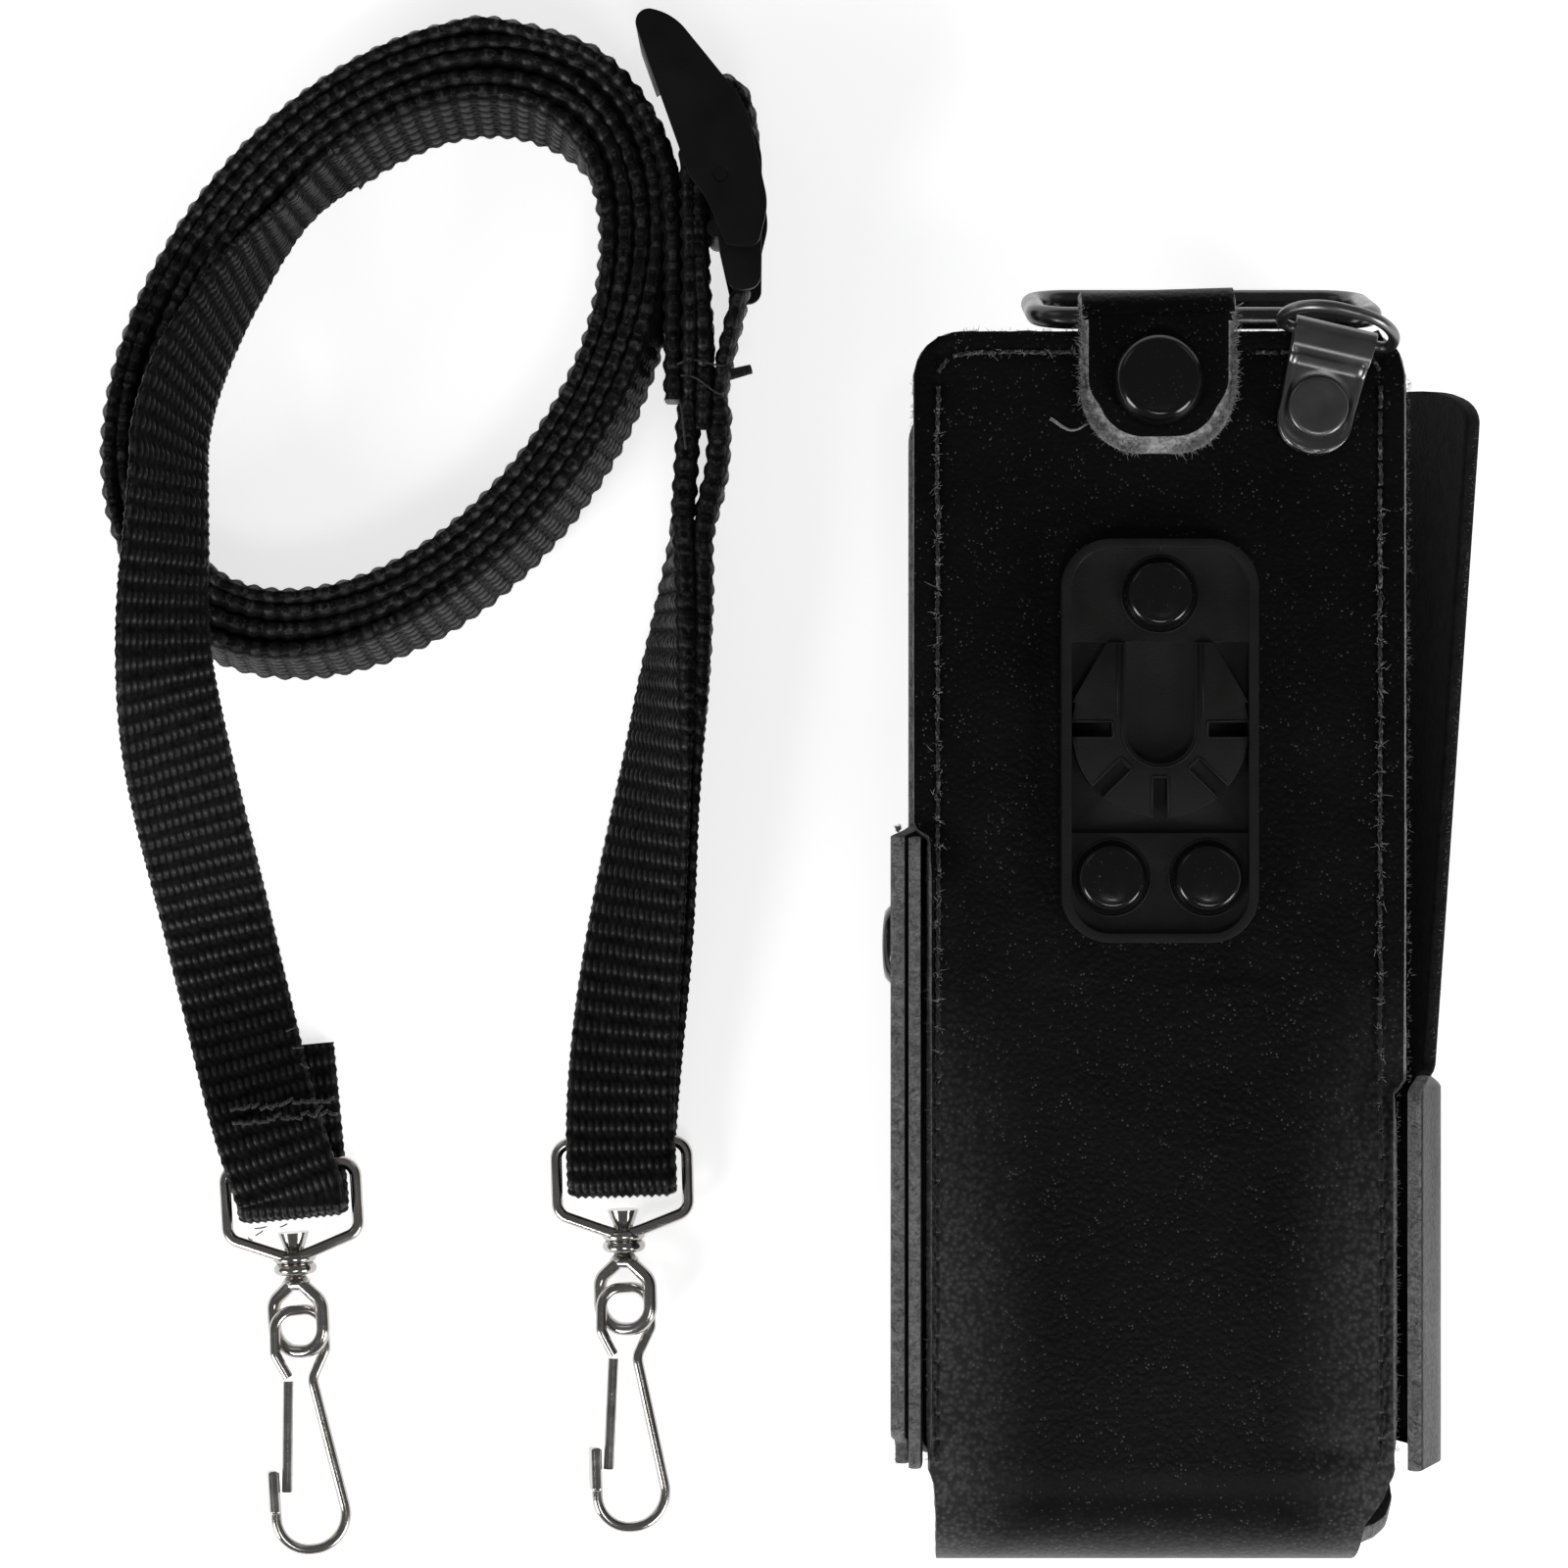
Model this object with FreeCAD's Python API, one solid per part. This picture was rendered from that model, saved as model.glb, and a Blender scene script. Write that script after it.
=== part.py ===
import FreeCAD, Part
import math
import os

# Leather carry case for a hand-held radio, lying on its front, with its webbing shoulder strap
# coiled beside it. Millimetres. +Z is up from the table, +Y points to the open mouth of the case,
# and the origin is the centre of the case's front face.

V = FreeCAD.Vector
UP = V(0, 0, 1)

# Leather case
LEATHER = 2.0
DEPTH = 40.0
FRONT_HALF_W, FRONT_BOTTOM, FRONT_TOP = 33.5, -74.0, 79.0
BACK_HALF_W, BACK_TOP, BACK_CORNER_R = 33.6, 84.7, 6.5
BACK_FOLD_Y = -70.0
BACK_FLAT_X = 25.0
LEFT_SEAM_X, RIGHT_SEAM_X, TOP_SEAM_Y = -30.4, 29.8, 81.8
LEFT_EDGE, RIGHT_EDGE = -31.6, 31.8
EDGE_LIFT = 2.2
LEFT_WALL_TOP_Y, RIGHT_WALL_TOP_Y, WALL_BOTTOM_Y = 16.4, -18.2, -70.5
WING_TOP_Y, WING_LOW_X, WING_HIGH_X, WING_Z = 78.8, 37.6, 44.4, 33.0
LINING_BOTTOM_Y = 17.2
TONGUE_X0, TONGUE_X1 = -29.4, 31.0
TONGUE_FRONT_Y = -84.6
TONGUE_END_Y = -50.0
STITCH_PITCH, STITCH_LEN, STITCH_W, STITCH_H = 3.5, 2.5, 0.7, 0.4

# Belt dock plate
PLATE_X, PLATE_Y0, PLATE_Y1, PLATE_W, PLATE_R = -0.4, 1.6, 56.3, 26.6, 6.6
PLATE_H, RIM_W, BAY_H, FLOOR_H = 3.6, 1.3, 2.5, 1.4
BAY_Y0, BAY_Y1 = 16.5, 42.3
DISC_Y, DISC_R, DISC_H = 30.5, 12.0, 3.2
SLOT_W = 9.3
NOTCH_W, NOTCH_R0 = 1.9, 6.6
RIVET_R, RIVET_H, SHANK_R = 5.0, 2.2, 2.0
RIVETS = [(PLATE_X, 48.8), (PLATE_X - 6.5, 10.4), (PLATE_X + 6.5, 10.4)]
FIT = 0.05

# Tab with its snap
TAB_X, TAB_W, TAB_END_Y, TAB_T = -0.5, 20.8, 68.0, 1.8
LOOP_Y, LOOP_Z, LOOP_R = 86.7, 38.0, 2.1
TAB_HINGE_Y = 86.2
SNAP_Y, SNAP_R, SNAP_H = 78.0, 6.3, 3.0

# Carry ring in the tab's loop
RING_LEN, RING_DEPTH, RING_R, RING_X, RING_CORNER, RING_HANG = 46.0, 22.0, 1.5, 6.5, 5.4, 13.0

# Sheet clip with its D-ring
CLIP_X, CLIP_Y, CLIP_LEAN, CLIP_T = 21.1, 74.25, 13.0, 0.8
CLIP_REACH, CLIP_W, CLIP_END_R, CLIP_Z, CURL_R = 9.7, 11.5, 5.0, 40.45, 1.0
DRING_W, DRING_DEPTH, DRING_R, DRING_STAND = 15.3, 9.2, 0.8, 73.0

# Snap on the left wall
SIDE_SNAP_Y, SIDE_SNAP_Z = 0.5, 20.0

# Webbing strap
WEB_W, WEB_T = 16.0, 1.4
COIL_X, COIL_Y, COIL_TURN, COIL_H = -106.5, 82.6, 53.0, 16.0
COIL_OUT, COIL_IN = (51.3, 34.0), (38.7, 24.0)
COIL_LEAN = V(-1.3, 4.0, 0)
FOLD_R, BAR_Z, FOLD_BELOW = 1.8, 3.4, 4.6

# Snap hooks
HOOKS = {"left": (V(-123.0, -32.1, BAR_Z), 3.4, 5.5), "right": (V(-74.9, -28.8, BAR_Z), 1.5, 0.0)}
LOOP_HALF, LOOP_CORNER, LOOP_WIRE = 9.5, 10.2, 0.85
COLLAR_AT, COLLAR_MID = 14.2, 2.3
POST_R = 1.4
EYE_AT, EYE_HALF_W, EYE_HALF_H, EYE_WIRE, EYE_TWIST = 22.2, 3.9, 4.9, 1.0, -20.0
HOOK_AT, HOOK_WIRE, HOOK_TWIST = 24.6, 0.8, 16.0
GATE_GAP, GATE_LEN = 0.4, 16.0

# Lever adjuster
ADJ_PIN, ADJ_STRAP_Z = V(-60.2, 108.6, 0), 3.9
CHEEK_T, EAR_T, ADJ_GAP = 1.5, 1.6, 0.2
TIP_FROM, LOW_EAR_X = 17.4, -65.0


def save(name, shape):
    if shape.ShapeType == "Compound" and len(shape.Solids) == 1:
        shape = shape.Solids[0]
    shape.exportStep(os.path.join("parts", name + ".step"))
    print(name, shape.isValid(), len(shape.Solids), round(shape.Volume, 1))


def box(x0, x1, y0, y1, z0, z1):
    return Part.makeBox(x1 - x0, y1 - y0, z1 - z0, V(x0, y0, z0))


def disc(x, y, z0, z1, r):
    return Part.makeCylinder(r, z1 - z0, V(x, y, z0))


def turned(shape, centre, axis, angle):
    out = shape.copy()
    out.rotate(centre, axis, angle)
    return out


def fillet_path(points, radius, closed=False):
    """A wire of straight lines joined by tangent arcs. radius is one value or one per corner."""
    n = len(points)
    radii = radius if isinstance(radius, list) else [radius] * n
    ends = []
    for i in range(n):
        p = points[i]
        if not closed and i in (0, n - 1):
            ends.append((p, None, p))
            continue
        a = (points[i - 1] - p).normalize()
        b = (points[(i + 1) % n] - p).normalize()
        half = a.getAngle(b) / 2
        cut = radii[i] / math.tan(half)
        mid = (a + b).normalize() * (radii[i] / math.sin(half) - radii[i])
        ends.append((p + a * cut, p + mid, p + b * cut))
    edges = []
    for i in range(n):
        start, mid, stop = ends[i]
        if mid is not None:
            edges.append(Part.Arc(start, mid, stop).toShape())
        if closed or i < n - 1:
            after = ends[(i + 1) % n][0]
            if stop.distanceToPoint(after) > 1e-6:
                edges.append(Part.makeLine(stop, after))
    return Part.Wire(Part.__sortEdges__(edges))


def wire_rod(path, radius):
    """A round bar bent along a path."""
    edge = path.Edges[0]
    start = edge.valueAt(edge.FirstParameter)
    along = edge.tangentAt(edge.FirstParameter)
    ring = Part.Wire(Part.makeCircle(radius, start, along))
    return Part.Solid(path.makePipeShell([ring], True, True))


def rounded_plate(x0, x1, y0, y1, z0, z1, radii):
    """A flat plate; radii are its corners' from low x, low y, counter-clockwise."""
    pts = [V(x0, y0, z0), V(x1, y0, z0), V(x1, y1, z0), V(x0, y1, z0)]
    return Part.Face(fillet_path(pts, radii, True)).extrude(V(0, 0, z1 - z0))


def curved_sheet(line, thickness, place, along):
    """A sheet whose mid-line is a list of (u, v); place maps u, v to a point, along is its run."""
    left, right = [], []
    for i, (u, v) in enumerate(line):
        u0, v0 = line[max(i - 1, 0)]
        u1, v1 = line[min(i + 1, len(line) - 1)]
        d = math.hypot(u1 - u0, v1 - v0)
        nu, nv = -(v1 - v0) / d * thickness / 2, (u1 - u0) / d * thickness / 2
        left.append(place(u + nu, v + nv))
        right.append(place(u - nu, v - nv))
    edges = []
    for pts in (left, right):
        curve = Part.BSplineCurve()
        curve.interpolate(pts)
        edges.append(curve.toShape())
    edges += [Part.makeLine(left[0], right[0]), Part.makeLine(left[-1], right[-1])]
    return Part.Face(Part.Wire(Part.__sortEdges__(edges))).extrude(along)


def ease(t):
    t = min(max(t, 0.0), 1.0)
    return t * t * (3 - 2 * t)


def bezier(a, b, c, d, t):
    return a * (1 - t) ** 3 + b * (3 * t * (1 - t) ** 2) + c * (3 * t * t * (1 - t)) + d * t ** 3


def webbing(frames):
    """A flat strip through (centre, width direction) frames, as one closed solid."""
    wires = []
    for i, (c, w) in enumerate(frames):
        t = frames[min(i + 1, len(frames) - 1)][0] - frames[max(i - 1, 0)][0]
        side = (w - t * (w.dot(t) / t.dot(t))).normalize()
        n = t.cross(side).normalize() * (WEB_T / 2)
        side = side * (WEB_W / 2)
        wires.append(Part.makePolygon([c - side - n, c + side - n, c + side + n, c - side + n, c - side - n]))
    return Part.makeLoft(wires, True, True)


def dome(radius, height, skirt=0.6):
    """A pressed cap with a low dome, its base on z = 0."""
    rise = height - skirt
    ball = (radius * radius + rise * rise) / (2 * rise)
    half = math.asin(radius / ball) / 2
    mid = V(ball * math.sin(half), 0, height - ball * (1 - math.cos(half)))
    prof = [Part.makeLine(V(0, 0, 0), V(radius, 0, 0)), Part.makeLine(V(radius, 0, 0), V(radius, 0, skirt)),
            Part.Arc(V(radius, 0, skirt), mid, V(0, 0, height)).toShape(),
            Part.makeLine(V(0, 0, height), V(0, 0, 0))]
    return Part.Face(Part.Wire(prof)).revolve(V(0, 0, 0), UP, 360)


def at(shape, x, y, z):
    out = shape.copy()
    out.translate(V(x, y, z))
    return out


def panel_z(x):
    """Height of the back panel's mid-plane over its lower half, where its edges turn up."""
    edge = LEFT_EDGE if x < 0 else RIGHT_EDGE
    return DEPTH - LEATHER / 2 + EDGE_LIFT * ease((abs(x) - BACK_FLAT_X) / (abs(edge) - BACK_FLAT_X + 2))


def back_panel():
    plate = rounded_plate(-BACK_HALF_W, BACK_HALF_W, RIGHT_WALL_TOP_Y, BACK_TOP, DEPTH - LEATHER, DEPTH,
                          [0.5, 0.5, BACK_CORNER_R, BACK_CORNER_R])
    plate = plate.cut(box(-50, -BACK_FLAT_X, -60, LEFT_WALL_TOP_Y, 0, 60))
    plate = plate.fuse(box(-BACK_FLAT_X, BACK_FLAT_X, BACK_FOLD_Y, 0, DEPTH - LEATHER, DEPTH))
    for edge, top in ((LEFT_EDGE, LEFT_WALL_TOP_Y), (RIGHT_EDGE, RIGHT_WALL_TOP_Y)):
        line = []
        for i in range(9):
            x = math.copysign(BACK_FLAT_X - 1 + (abs(edge) - BACK_FLAT_X + 1) * i / 8, edge)
            line.append((x, panel_z(x)))
        plate = plate.fuse(curved_sheet(line, LEATHER, lambda u, v: V(u, BACK_FOLD_Y, v), V(0, top - BACK_FOLD_Y, 0)))
    r1, r2 = 13.0, 10.4
    y_out, z_top, z_low = TONGUE_FRONT_Y + LEATHER / 2, DEPTH - LEATHER / 2, LEATHER * 1.5 + 0.1
    line = [(BACK_FOLD_Y + 2, z_top)]
    for i in range(11):
        a = math.radians(90 + 9 * i)
        line.append((y_out + r1 + r1 * math.cos(a), z_top - r1 + r1 * math.sin(a)))
    for i in range(11):
        a = math.radians(180 + 9 * i)
        line.append((y_out + r2 + r2 * math.cos(a), z_low + r2 + r2 * math.sin(a)))
    line += [((TONGUE_END_Y + y_out + r2) / 2, z_low), (TONGUE_END_Y, z_low)]
    tongue = curved_sheet(line, LEATHER, lambda u, v: V(TONGUE_X0, u, v), V(TONGUE_X1 - TONGUE_X0, 0, 0))
    return plate.fuse(tongue).removeSplitter()


def wall_line(points):
    """A smooth cross-section through a few (x, z) points."""
    curve = Part.BSplineCurve()
    curve.interpolate([V(x, 0, z) for x, z in points])
    out = []
    for i in range(15):
        p = curve.value(curve.FirstParameter + (curve.LastParameter - curve.FirstParameter) * i / 14)
        out.append((p.x, p.z))
    return out


def front_wrap():
    front = rounded_plate(-FRONT_HALF_W, FRONT_HALF_W, FRONT_BOTTOM, FRONT_TOP, 0, LEATHER, [3, 3, 6.5, 6.5])
    left = curved_sheet(wall_line([(-32.3, 0.6), (-33.6, 18), (-35.9, DEPTH + 1.6)]), LEATHER,
                        lambda u, v: V(u, WALL_BOTTOM_Y, v), V(0, LEFT_WALL_TOP_Y - WALL_BOTTOM_Y, 0))
    right = curved_sheet(wall_line([(32.2, 0.9), (37.2, 6.0), (39.0, 17), (38.6, 29), (35.6, DEPTH + 1.2)]), LEATHER,
                         lambda u, v: V(u, WALL_BOTTOM_Y, v), V(0, RIGHT_WALL_TOP_Y - WALL_BOTTOM_Y, 0))
    sections = []
    for y, x_top in ((RIGHT_WALL_TOP_Y - 0.5, WING_LOW_X), (WING_TOP_Y, WING_HIGH_X)):
        run = V(x_top - FRONT_HALF_W, 0, WING_Z - 1).normalize()
        n = V(run.z, 0, -run.x) * LEATHER
        a, b = V(FRONT_HALF_W, y, 0.8), V(x_top, y, WING_Z)
        sections.append(Part.makePolygon([a, b, b - n, a - n, a]))
    wing = Part.makeLoft(sections, True, True)
    pts = [V(0, -40, -5), V(0, WING_TOP_Y - 0.2, -5), V(0, WING_TOP_Y - 0.2, WING_Z), V(0, -40, WING_Z)]
    wing = wing.common(Part.Face(fillet_path(pts, [0.5, 0.5, 6.0, 0.5], True)).extrude(V(60, 0, 0)))
    wrap = front.fuse([left, right, wing]).removeSplitter()
    snap = side_snap_axis()
    hole = Part.makeCylinder(1.6, 12, snap[0] - snap[1] * 6, snap[1])
    return wrap.cut(hole)


def side_snap_axis():
    return V(-34.75, SIDE_SNAP_Y, SIDE_SNAP_Z), V(-0.994, 0, -0.106).normalize()


def stitches():
    """Thread lying on the back panel: left side, right side and along the mouth."""
    left, right, top = [], [], []
    y = BACK_FOLD_Y + 1.0
    while y < TOP_SEAM_Y - 5:
        for x, row, lift_top in ((LEFT_SEAM_X, left, LEFT_WALL_TOP_Y), (RIGHT_SEAM_X, right, RIGHT_WALL_TOP_Y)):
            z = DEPTH if y + STITCH_LEN > lift_top - 0.5 else panel_z(x) + LEATHER / 2 + 0.28
            if not (y < lift_top + 0.6 and y + STITCH_LEN > lift_top - 0.6):
                row.append(box(x - STITCH_W / 2, x + STITCH_W / 2, y, y + STITCH_LEN, z + 0.02, z + 0.02 + STITCH_H))
        y += STITCH_PITCH
    x = LEFT_SEAM_X + 5.0
    while x < RIGHT_SEAM_X - 4:
        under_tab = abs(x + STITCH_LEN / 2 - TAB_X) < TAB_W / 2 + STITCH_LEN
        if not under_tab:
            top.append(box(x, x + STITCH_LEN, TOP_SEAM_Y - STITCH_W / 2, TOP_SEAM_Y + STITCH_W / 2,
                           DEPTH + 0.02, DEPTH + 0.02 + STITCH_H))
        x += STITCH_PITCH
    return left, right, top


def belt_plate():
    x0, x1 = PLATE_X - PLATE_W / 2, PLATE_X + PLATE_W / 2
    z = DEPTH + 0.02
    body = rounded_plate(x0, x1, PLATE_Y0, PLATE_Y1, z, z + PLATE_H, [PLATE_R] * 4)
    inner = PLATE_R - RIM_W
    body = body.cut(rounded_plate(x0 + RIM_W, x1 - RIM_W, PLATE_Y0 + RIM_W, PLATE_Y1 - RIM_W, z + BAY_H,
                                  z + 9, [inner] * 4))
    body = body.cut(box(x0 + RIM_W, x1 - RIM_W, BAY_Y0, BAY_Y1, z + FLOOR_H, z + 9))
    dock = disc(PLATE_X, DISC_Y, z + FLOOR_H - 0.2, z + DISC_H, DISC_R)
    crown = [V(PLATE_X - 7.2, BAY_Y1, z), V(PLATE_X - DISC_R, DISC_Y + 3.6, z), V(PLATE_X + DISC_R, DISC_Y + 3.6, z),
             V(PLATE_X + 7.2, BAY_Y1, z), V(PLATE_X - 7.2, BAY_Y1, z)]
    crown = Part.Face(Part.makePolygon(crown)).extrude(V(0, 0, DISC_H))
    dock = dock.fuse(crown).common(box(x0 + RIM_W, x1 - RIM_W, 0, BAY_Y1, z + FLOOR_H - 0.2, z + 9))
    slot = disc(PLATE_X, DISC_Y, z + FLOOR_H, z + 9, SLOT_W / 2).fuse(
        box(PLATE_X - SLOT_W / 2, PLATE_X + SLOT_W / 2, DISC_Y, 60, z + FLOOR_H, z + 9))
    dock = dock.cut(slot)
    for k in range(5):
        notch = box(NOTCH_R0, DISC_R + 3, -NOTCH_W / 2, NOTCH_W / 2, z + FLOOR_H, z + 9)
        dock = dock.cut(at(turned(notch, V(0, 0, 0), UP, 180 + 45 * k), PLATE_X, DISC_Y, 0))
    body = body.fuse(dock).cut(slot.common(box(x0, x1, 0, BAY_Y1, 0, 99)))
    for x, y in RIVETS:
        body = body.cut(disc(x, y, z - 1, z + 9, SHANK_R + FIT))
    return body.removeSplitter()


def plate_rivets():
    """Domed rivets through the plate and the leather, and the washer each one is set against."""
    rivets, washers = [], []
    for x, y in RIVETS:
        inside = DEPTH - LEATHER * (2 if y > LINING_BOTTOM_Y else 1) - 0.02
        top = DEPTH + 0.04 + BAY_H
        rivet = at(dome(RIVET_R, RIVET_H), x, y, top).fuse(disc(x, y, inside - 1.4, top + 0.2, SHANK_R))
        rivets.append(rivet.fuse(disc(x, y, inside - 1.6, inside - 0.9, SHANK_R + 0.8)))
        washers.append(disc(x, y, inside - 0.85, inside, 4.5).cut(disc(x, y, 0, 60, SHANK_R + FIT)))
    return rivets, washers


def tab():
    """The snap flap over the back panel, and the fold and inner layer that hold the ring."""
    x0, x1 = TAB_X - TAB_W / 2, TAB_X + TAB_W / 2
    z0 = LOOP_Z + LOOP_R
    flap = rounded_plate(x0, x1, TAB_END_Y, TAB_HINGE_Y - 0.1, z0, z0 + TAB_T, [8.2, 8.2, 0.05, 0.05])
    flap = flap.cut(disc(TAB_X, SNAP_Y, 0, 60, 4.5 + FIT))
    ring = Part.makeCylinder(LOOP_R + TAB_T, TAB_W, V(x0, LOOP_Y, LOOP_Z), V(1, 0, 0)).cut(
        Part.makeCylinder(LOOP_R, TAB_W, V(x0, LOOP_Y, LOOP_Z), V(1, 0, 0)))
    base = ring.common(box(x0, x1, LOOP_Y, LOOP_Y + 9, 0, 60))
    base = base.fuse(box(x0, x1, TAB_HINGE_Y + 0.1, LOOP_Y, z0, z0 + TAB_T))
    base = base.fuse(box(x0, x1, TAB_END_Y + 1, LOOP_Y, LOOP_Z - LOOP_R - TAB_T, LOOP_Z - LOOP_R))
    base = base.cut(disc(TAB_X, SNAP_Y, 0, LOOP_Z, 1.6))
    return flap, base.removeSplitter()


def snap_parts():
    z0 = LOOP_Z + LOOP_R
    cap = at(dome(SNAP_R, SNAP_H, 0.8), TAB_X, SNAP_Y, z0 + TAB_T + 0.03)
    socket = disc(TAB_X, SNAP_Y, z0 + 0.1, z0 + TAB_T, 4.5).cut(disc(TAB_X, SNAP_Y, 0, z0 + TAB_T - 0.25, 2.9))
    low = LOOP_Z - LOOP_R - TAB_T
    stud = disc(TAB_X, SNAP_Y, low - 0.85, DEPTH + 0.2, 1.5).fuse(disc(TAB_X, SNAP_Y, low - 0.85, low - 0.05, 5.0))
    stud = stud.fuse(disc(TAB_X, SNAP_Y, DEPTH + 0.02, DEPTH + 0.09, 3.4))
    stud = stud.fuse(Part.makeCone(2.5, 1.9, 1.3, V(TAB_X, SNAP_Y, DEPTH + 0.05)))
    return cap, socket, stud


def carry_ring():
    half = RING_LEN / 2
    pts = [V(RING_X - half, LOOP_Y, LOOP_Z), V(RING_X + half, LOOP_Y, LOOP_Z),
           V(RING_X + half, LOOP_Y, LOOP_Z - RING_DEPTH), V(RING_X - half, LOOP_Y, LOOP_Z - RING_DEPTH)]
    ring = wire_rod(fillet_path(pts, RING_CORNER, True), RING_R)
    return turned(ring, V(0, LOOP_Y, LOOP_Z), V(1, 0, 0), RING_HANG)


def clip_place(shape):
    return turned(at(shape, CLIP_X, CLIP_Y, CLIP_Z), V(CLIP_X, CLIP_Y, 0), UP, -CLIP_LEAN)


def clip():
    """Sheet metal folded round the D-ring's bar, both leaves on one rivet."""
    t, r = CLIP_T, CURL_R
    zc = t + r
    outline = [V(-CLIP_W / 2, CLIP_REACH + 3, 0), V(-CLIP_END_R, 0, 0), V(-CLIP_END_R, -6.4, 0),
               V(CLIP_END_R, -6.4, 0), V(CLIP_END_R, 0, 0), V(CLIP_W / 2, CLIP_REACH + 3, 0)]
    shape = Part.Face(fillet_path(outline, [0.5, 0.5, 4.7, 4.7, 0.5, 0.5], True)).extrude(V(0, 0, 9))
    line = [(-7.0, t * 1.5 + 0.05), (-3.0, t * 1.5 + 0.05), (2.0, t * 1.5 + 0.05), (4.4, t * 1.5 + 0.05),
            (5.6, t * 1.5 + 0.2), (7.2, zc + r + t / 2 - 0.25), (8.2, zc + r + t / 2 - 0.02)]
    for i in range(9):
        a = math.radians(90 - 22.5 * i)
        line.append((CLIP_REACH + (r + t / 2) * math.cos(a), zc + (r + t / 2) * math.sin(a)))
    line += [(7.8, t / 2), (4.6, t / 2), (1.0, t / 2), (-3.0, t / 2), (-7.0, t / 2)]
    band = curved_sheet(line, t, lambda u, v: V(-9, u, v), V(18, 0, 0))
    return clip_place(band.common(shape).cut(disc(0, 0, -1, 9, 1.5 + FIT)))


def clip_rivet():
    z = CLIP_Z + 2 * CLIP_T + 0.1
    inside = DEPTH - 2 * LEATHER - 0.02
    body = at(dome(4.2, 1.9), CLIP_X, CLIP_Y, z).fuse(disc(CLIP_X, CLIP_Y, inside - 0.8, z + 0.2, 1.5))
    body = body.fuse(disc(CLIP_X, CLIP_Y, inside - 0.8, inside, 4.2))
    return body.fuse(disc(CLIP_X, CLIP_Y, DEPTH + 0.02, CLIP_Z - 0.04, 2.6))


def d_ring():
    half, d = DRING_W / 2, DRING_DEPTH
    pts = [V(-half, 0, 0), V(half, 0, 0), V(half, d, 0), V(-half, d, 0)]
    ring = wire_rod(fillet_path(pts, [1.9, 1.9, 6.8, 6.8], True), DRING_R)
    ring = turned(ring, V(0, 0, 0), V(1, 0, 0), DRING_STAND)
    return clip_place(at(ring, 0, CLIP_REACH, CLIP_T + CURL_R))


def side_snap():
    point, axis = side_snap_axis()
    turn = FreeCAD.Rotation(UP, axis)

    def place(shape, out):
        shape = shape.copy()
        shape.Placement = FreeCAD.Placement(point + axis * out, turn).multiply(shape.Placement)
        return shape
    cap = place(dome(6.0, 2.4), 0.3).fuse(place(Part.makeCylinder(1.5, 3.6), -2.9))
    post = place(Part.makeCylinder(4.6, 0.8).cut(Part.makeCylinder(1.5 + FIT, 0.8)), -3.0)
    return cap, post


def ellipse(size, height, lift=0.0):
    face = Part.Face(Part.Wire(Part.Ellipse(V(0, 0, 0), size[0], size[1]).toShape()))
    return face.extrude(V(0, 0, height))


def coil():
    """The wound part of the strap: an oval ring of turns standing on edge, leaning a little."""
    wires = []
    for size in (COIL_OUT, COIL_IN):
        pair = []
        for k in (0, 1):
            edge = Part.Ellipse(V(0, 0, 0), size[0], size[1]).toShape()
            wire = turned(Part.Wire(edge), V(0, 0, 0), UP, COIL_TURN)
            pair.append(at(wire, COIL_X + COIL_LEAN.x * k, COIL_Y + COIL_LEAN.y * k, 0.02 + COIL_H * k))
        wires.append(Part.makeLoft(pair, True, True))
    return wires[0].cut(wires[1])


def left_run():
    """From the coil's top over to the left hook's loop, round its bar and back under itself."""
    bar, _, heading = HOOKS["left"]
    down = V(math.sin(math.radians(heading)), -math.cos(math.radians(heading)), 0)
    across = V(-down.y, down.x, 0)
    end = bar + down * FOLD_BELOW
    frames = []
    rise = FOLD_R + WEB_T / 2
    for i in range(25):
        t = i / 24
        c = bezier(V(-137.6, 60.5, 0), V(-141, 32, 0), V(-133.5, -6, 0), end - down * 0.5, t)
        tilt = math.radians(44 * (1 - ease((52 - c.y) / 68)))
        over = ease(c.y / 43)
        low = 8 * math.sin(tilt) + 0.9
        c.z = max(low + (COIL_H + 0.3) * over, 0) + (BAR_Z + rise - low) * ease((-c.y - 5) / 28)
        along = ease((10 - c.y) / 45)
        flat = V(1, 0, 0) * (1 - along) + across * along
        frames.append((c, flat * math.cos(tilt) - UP * math.sin(tilt)))
    for i in range(1, 8):
        a = math.pi * i / 8
        frames.append((V(end.x, end.y, BAR_Z) + down * (rise * math.sin(a)) + UP * (rise * math.cos(a)), across))
    for i in range(7):
        c = end - down * (3.6 * i)
        frames.append((V(c.x, c.y, BAR_Z - rise + 0.03 * i), across))
    return webbing(frames)


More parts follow.
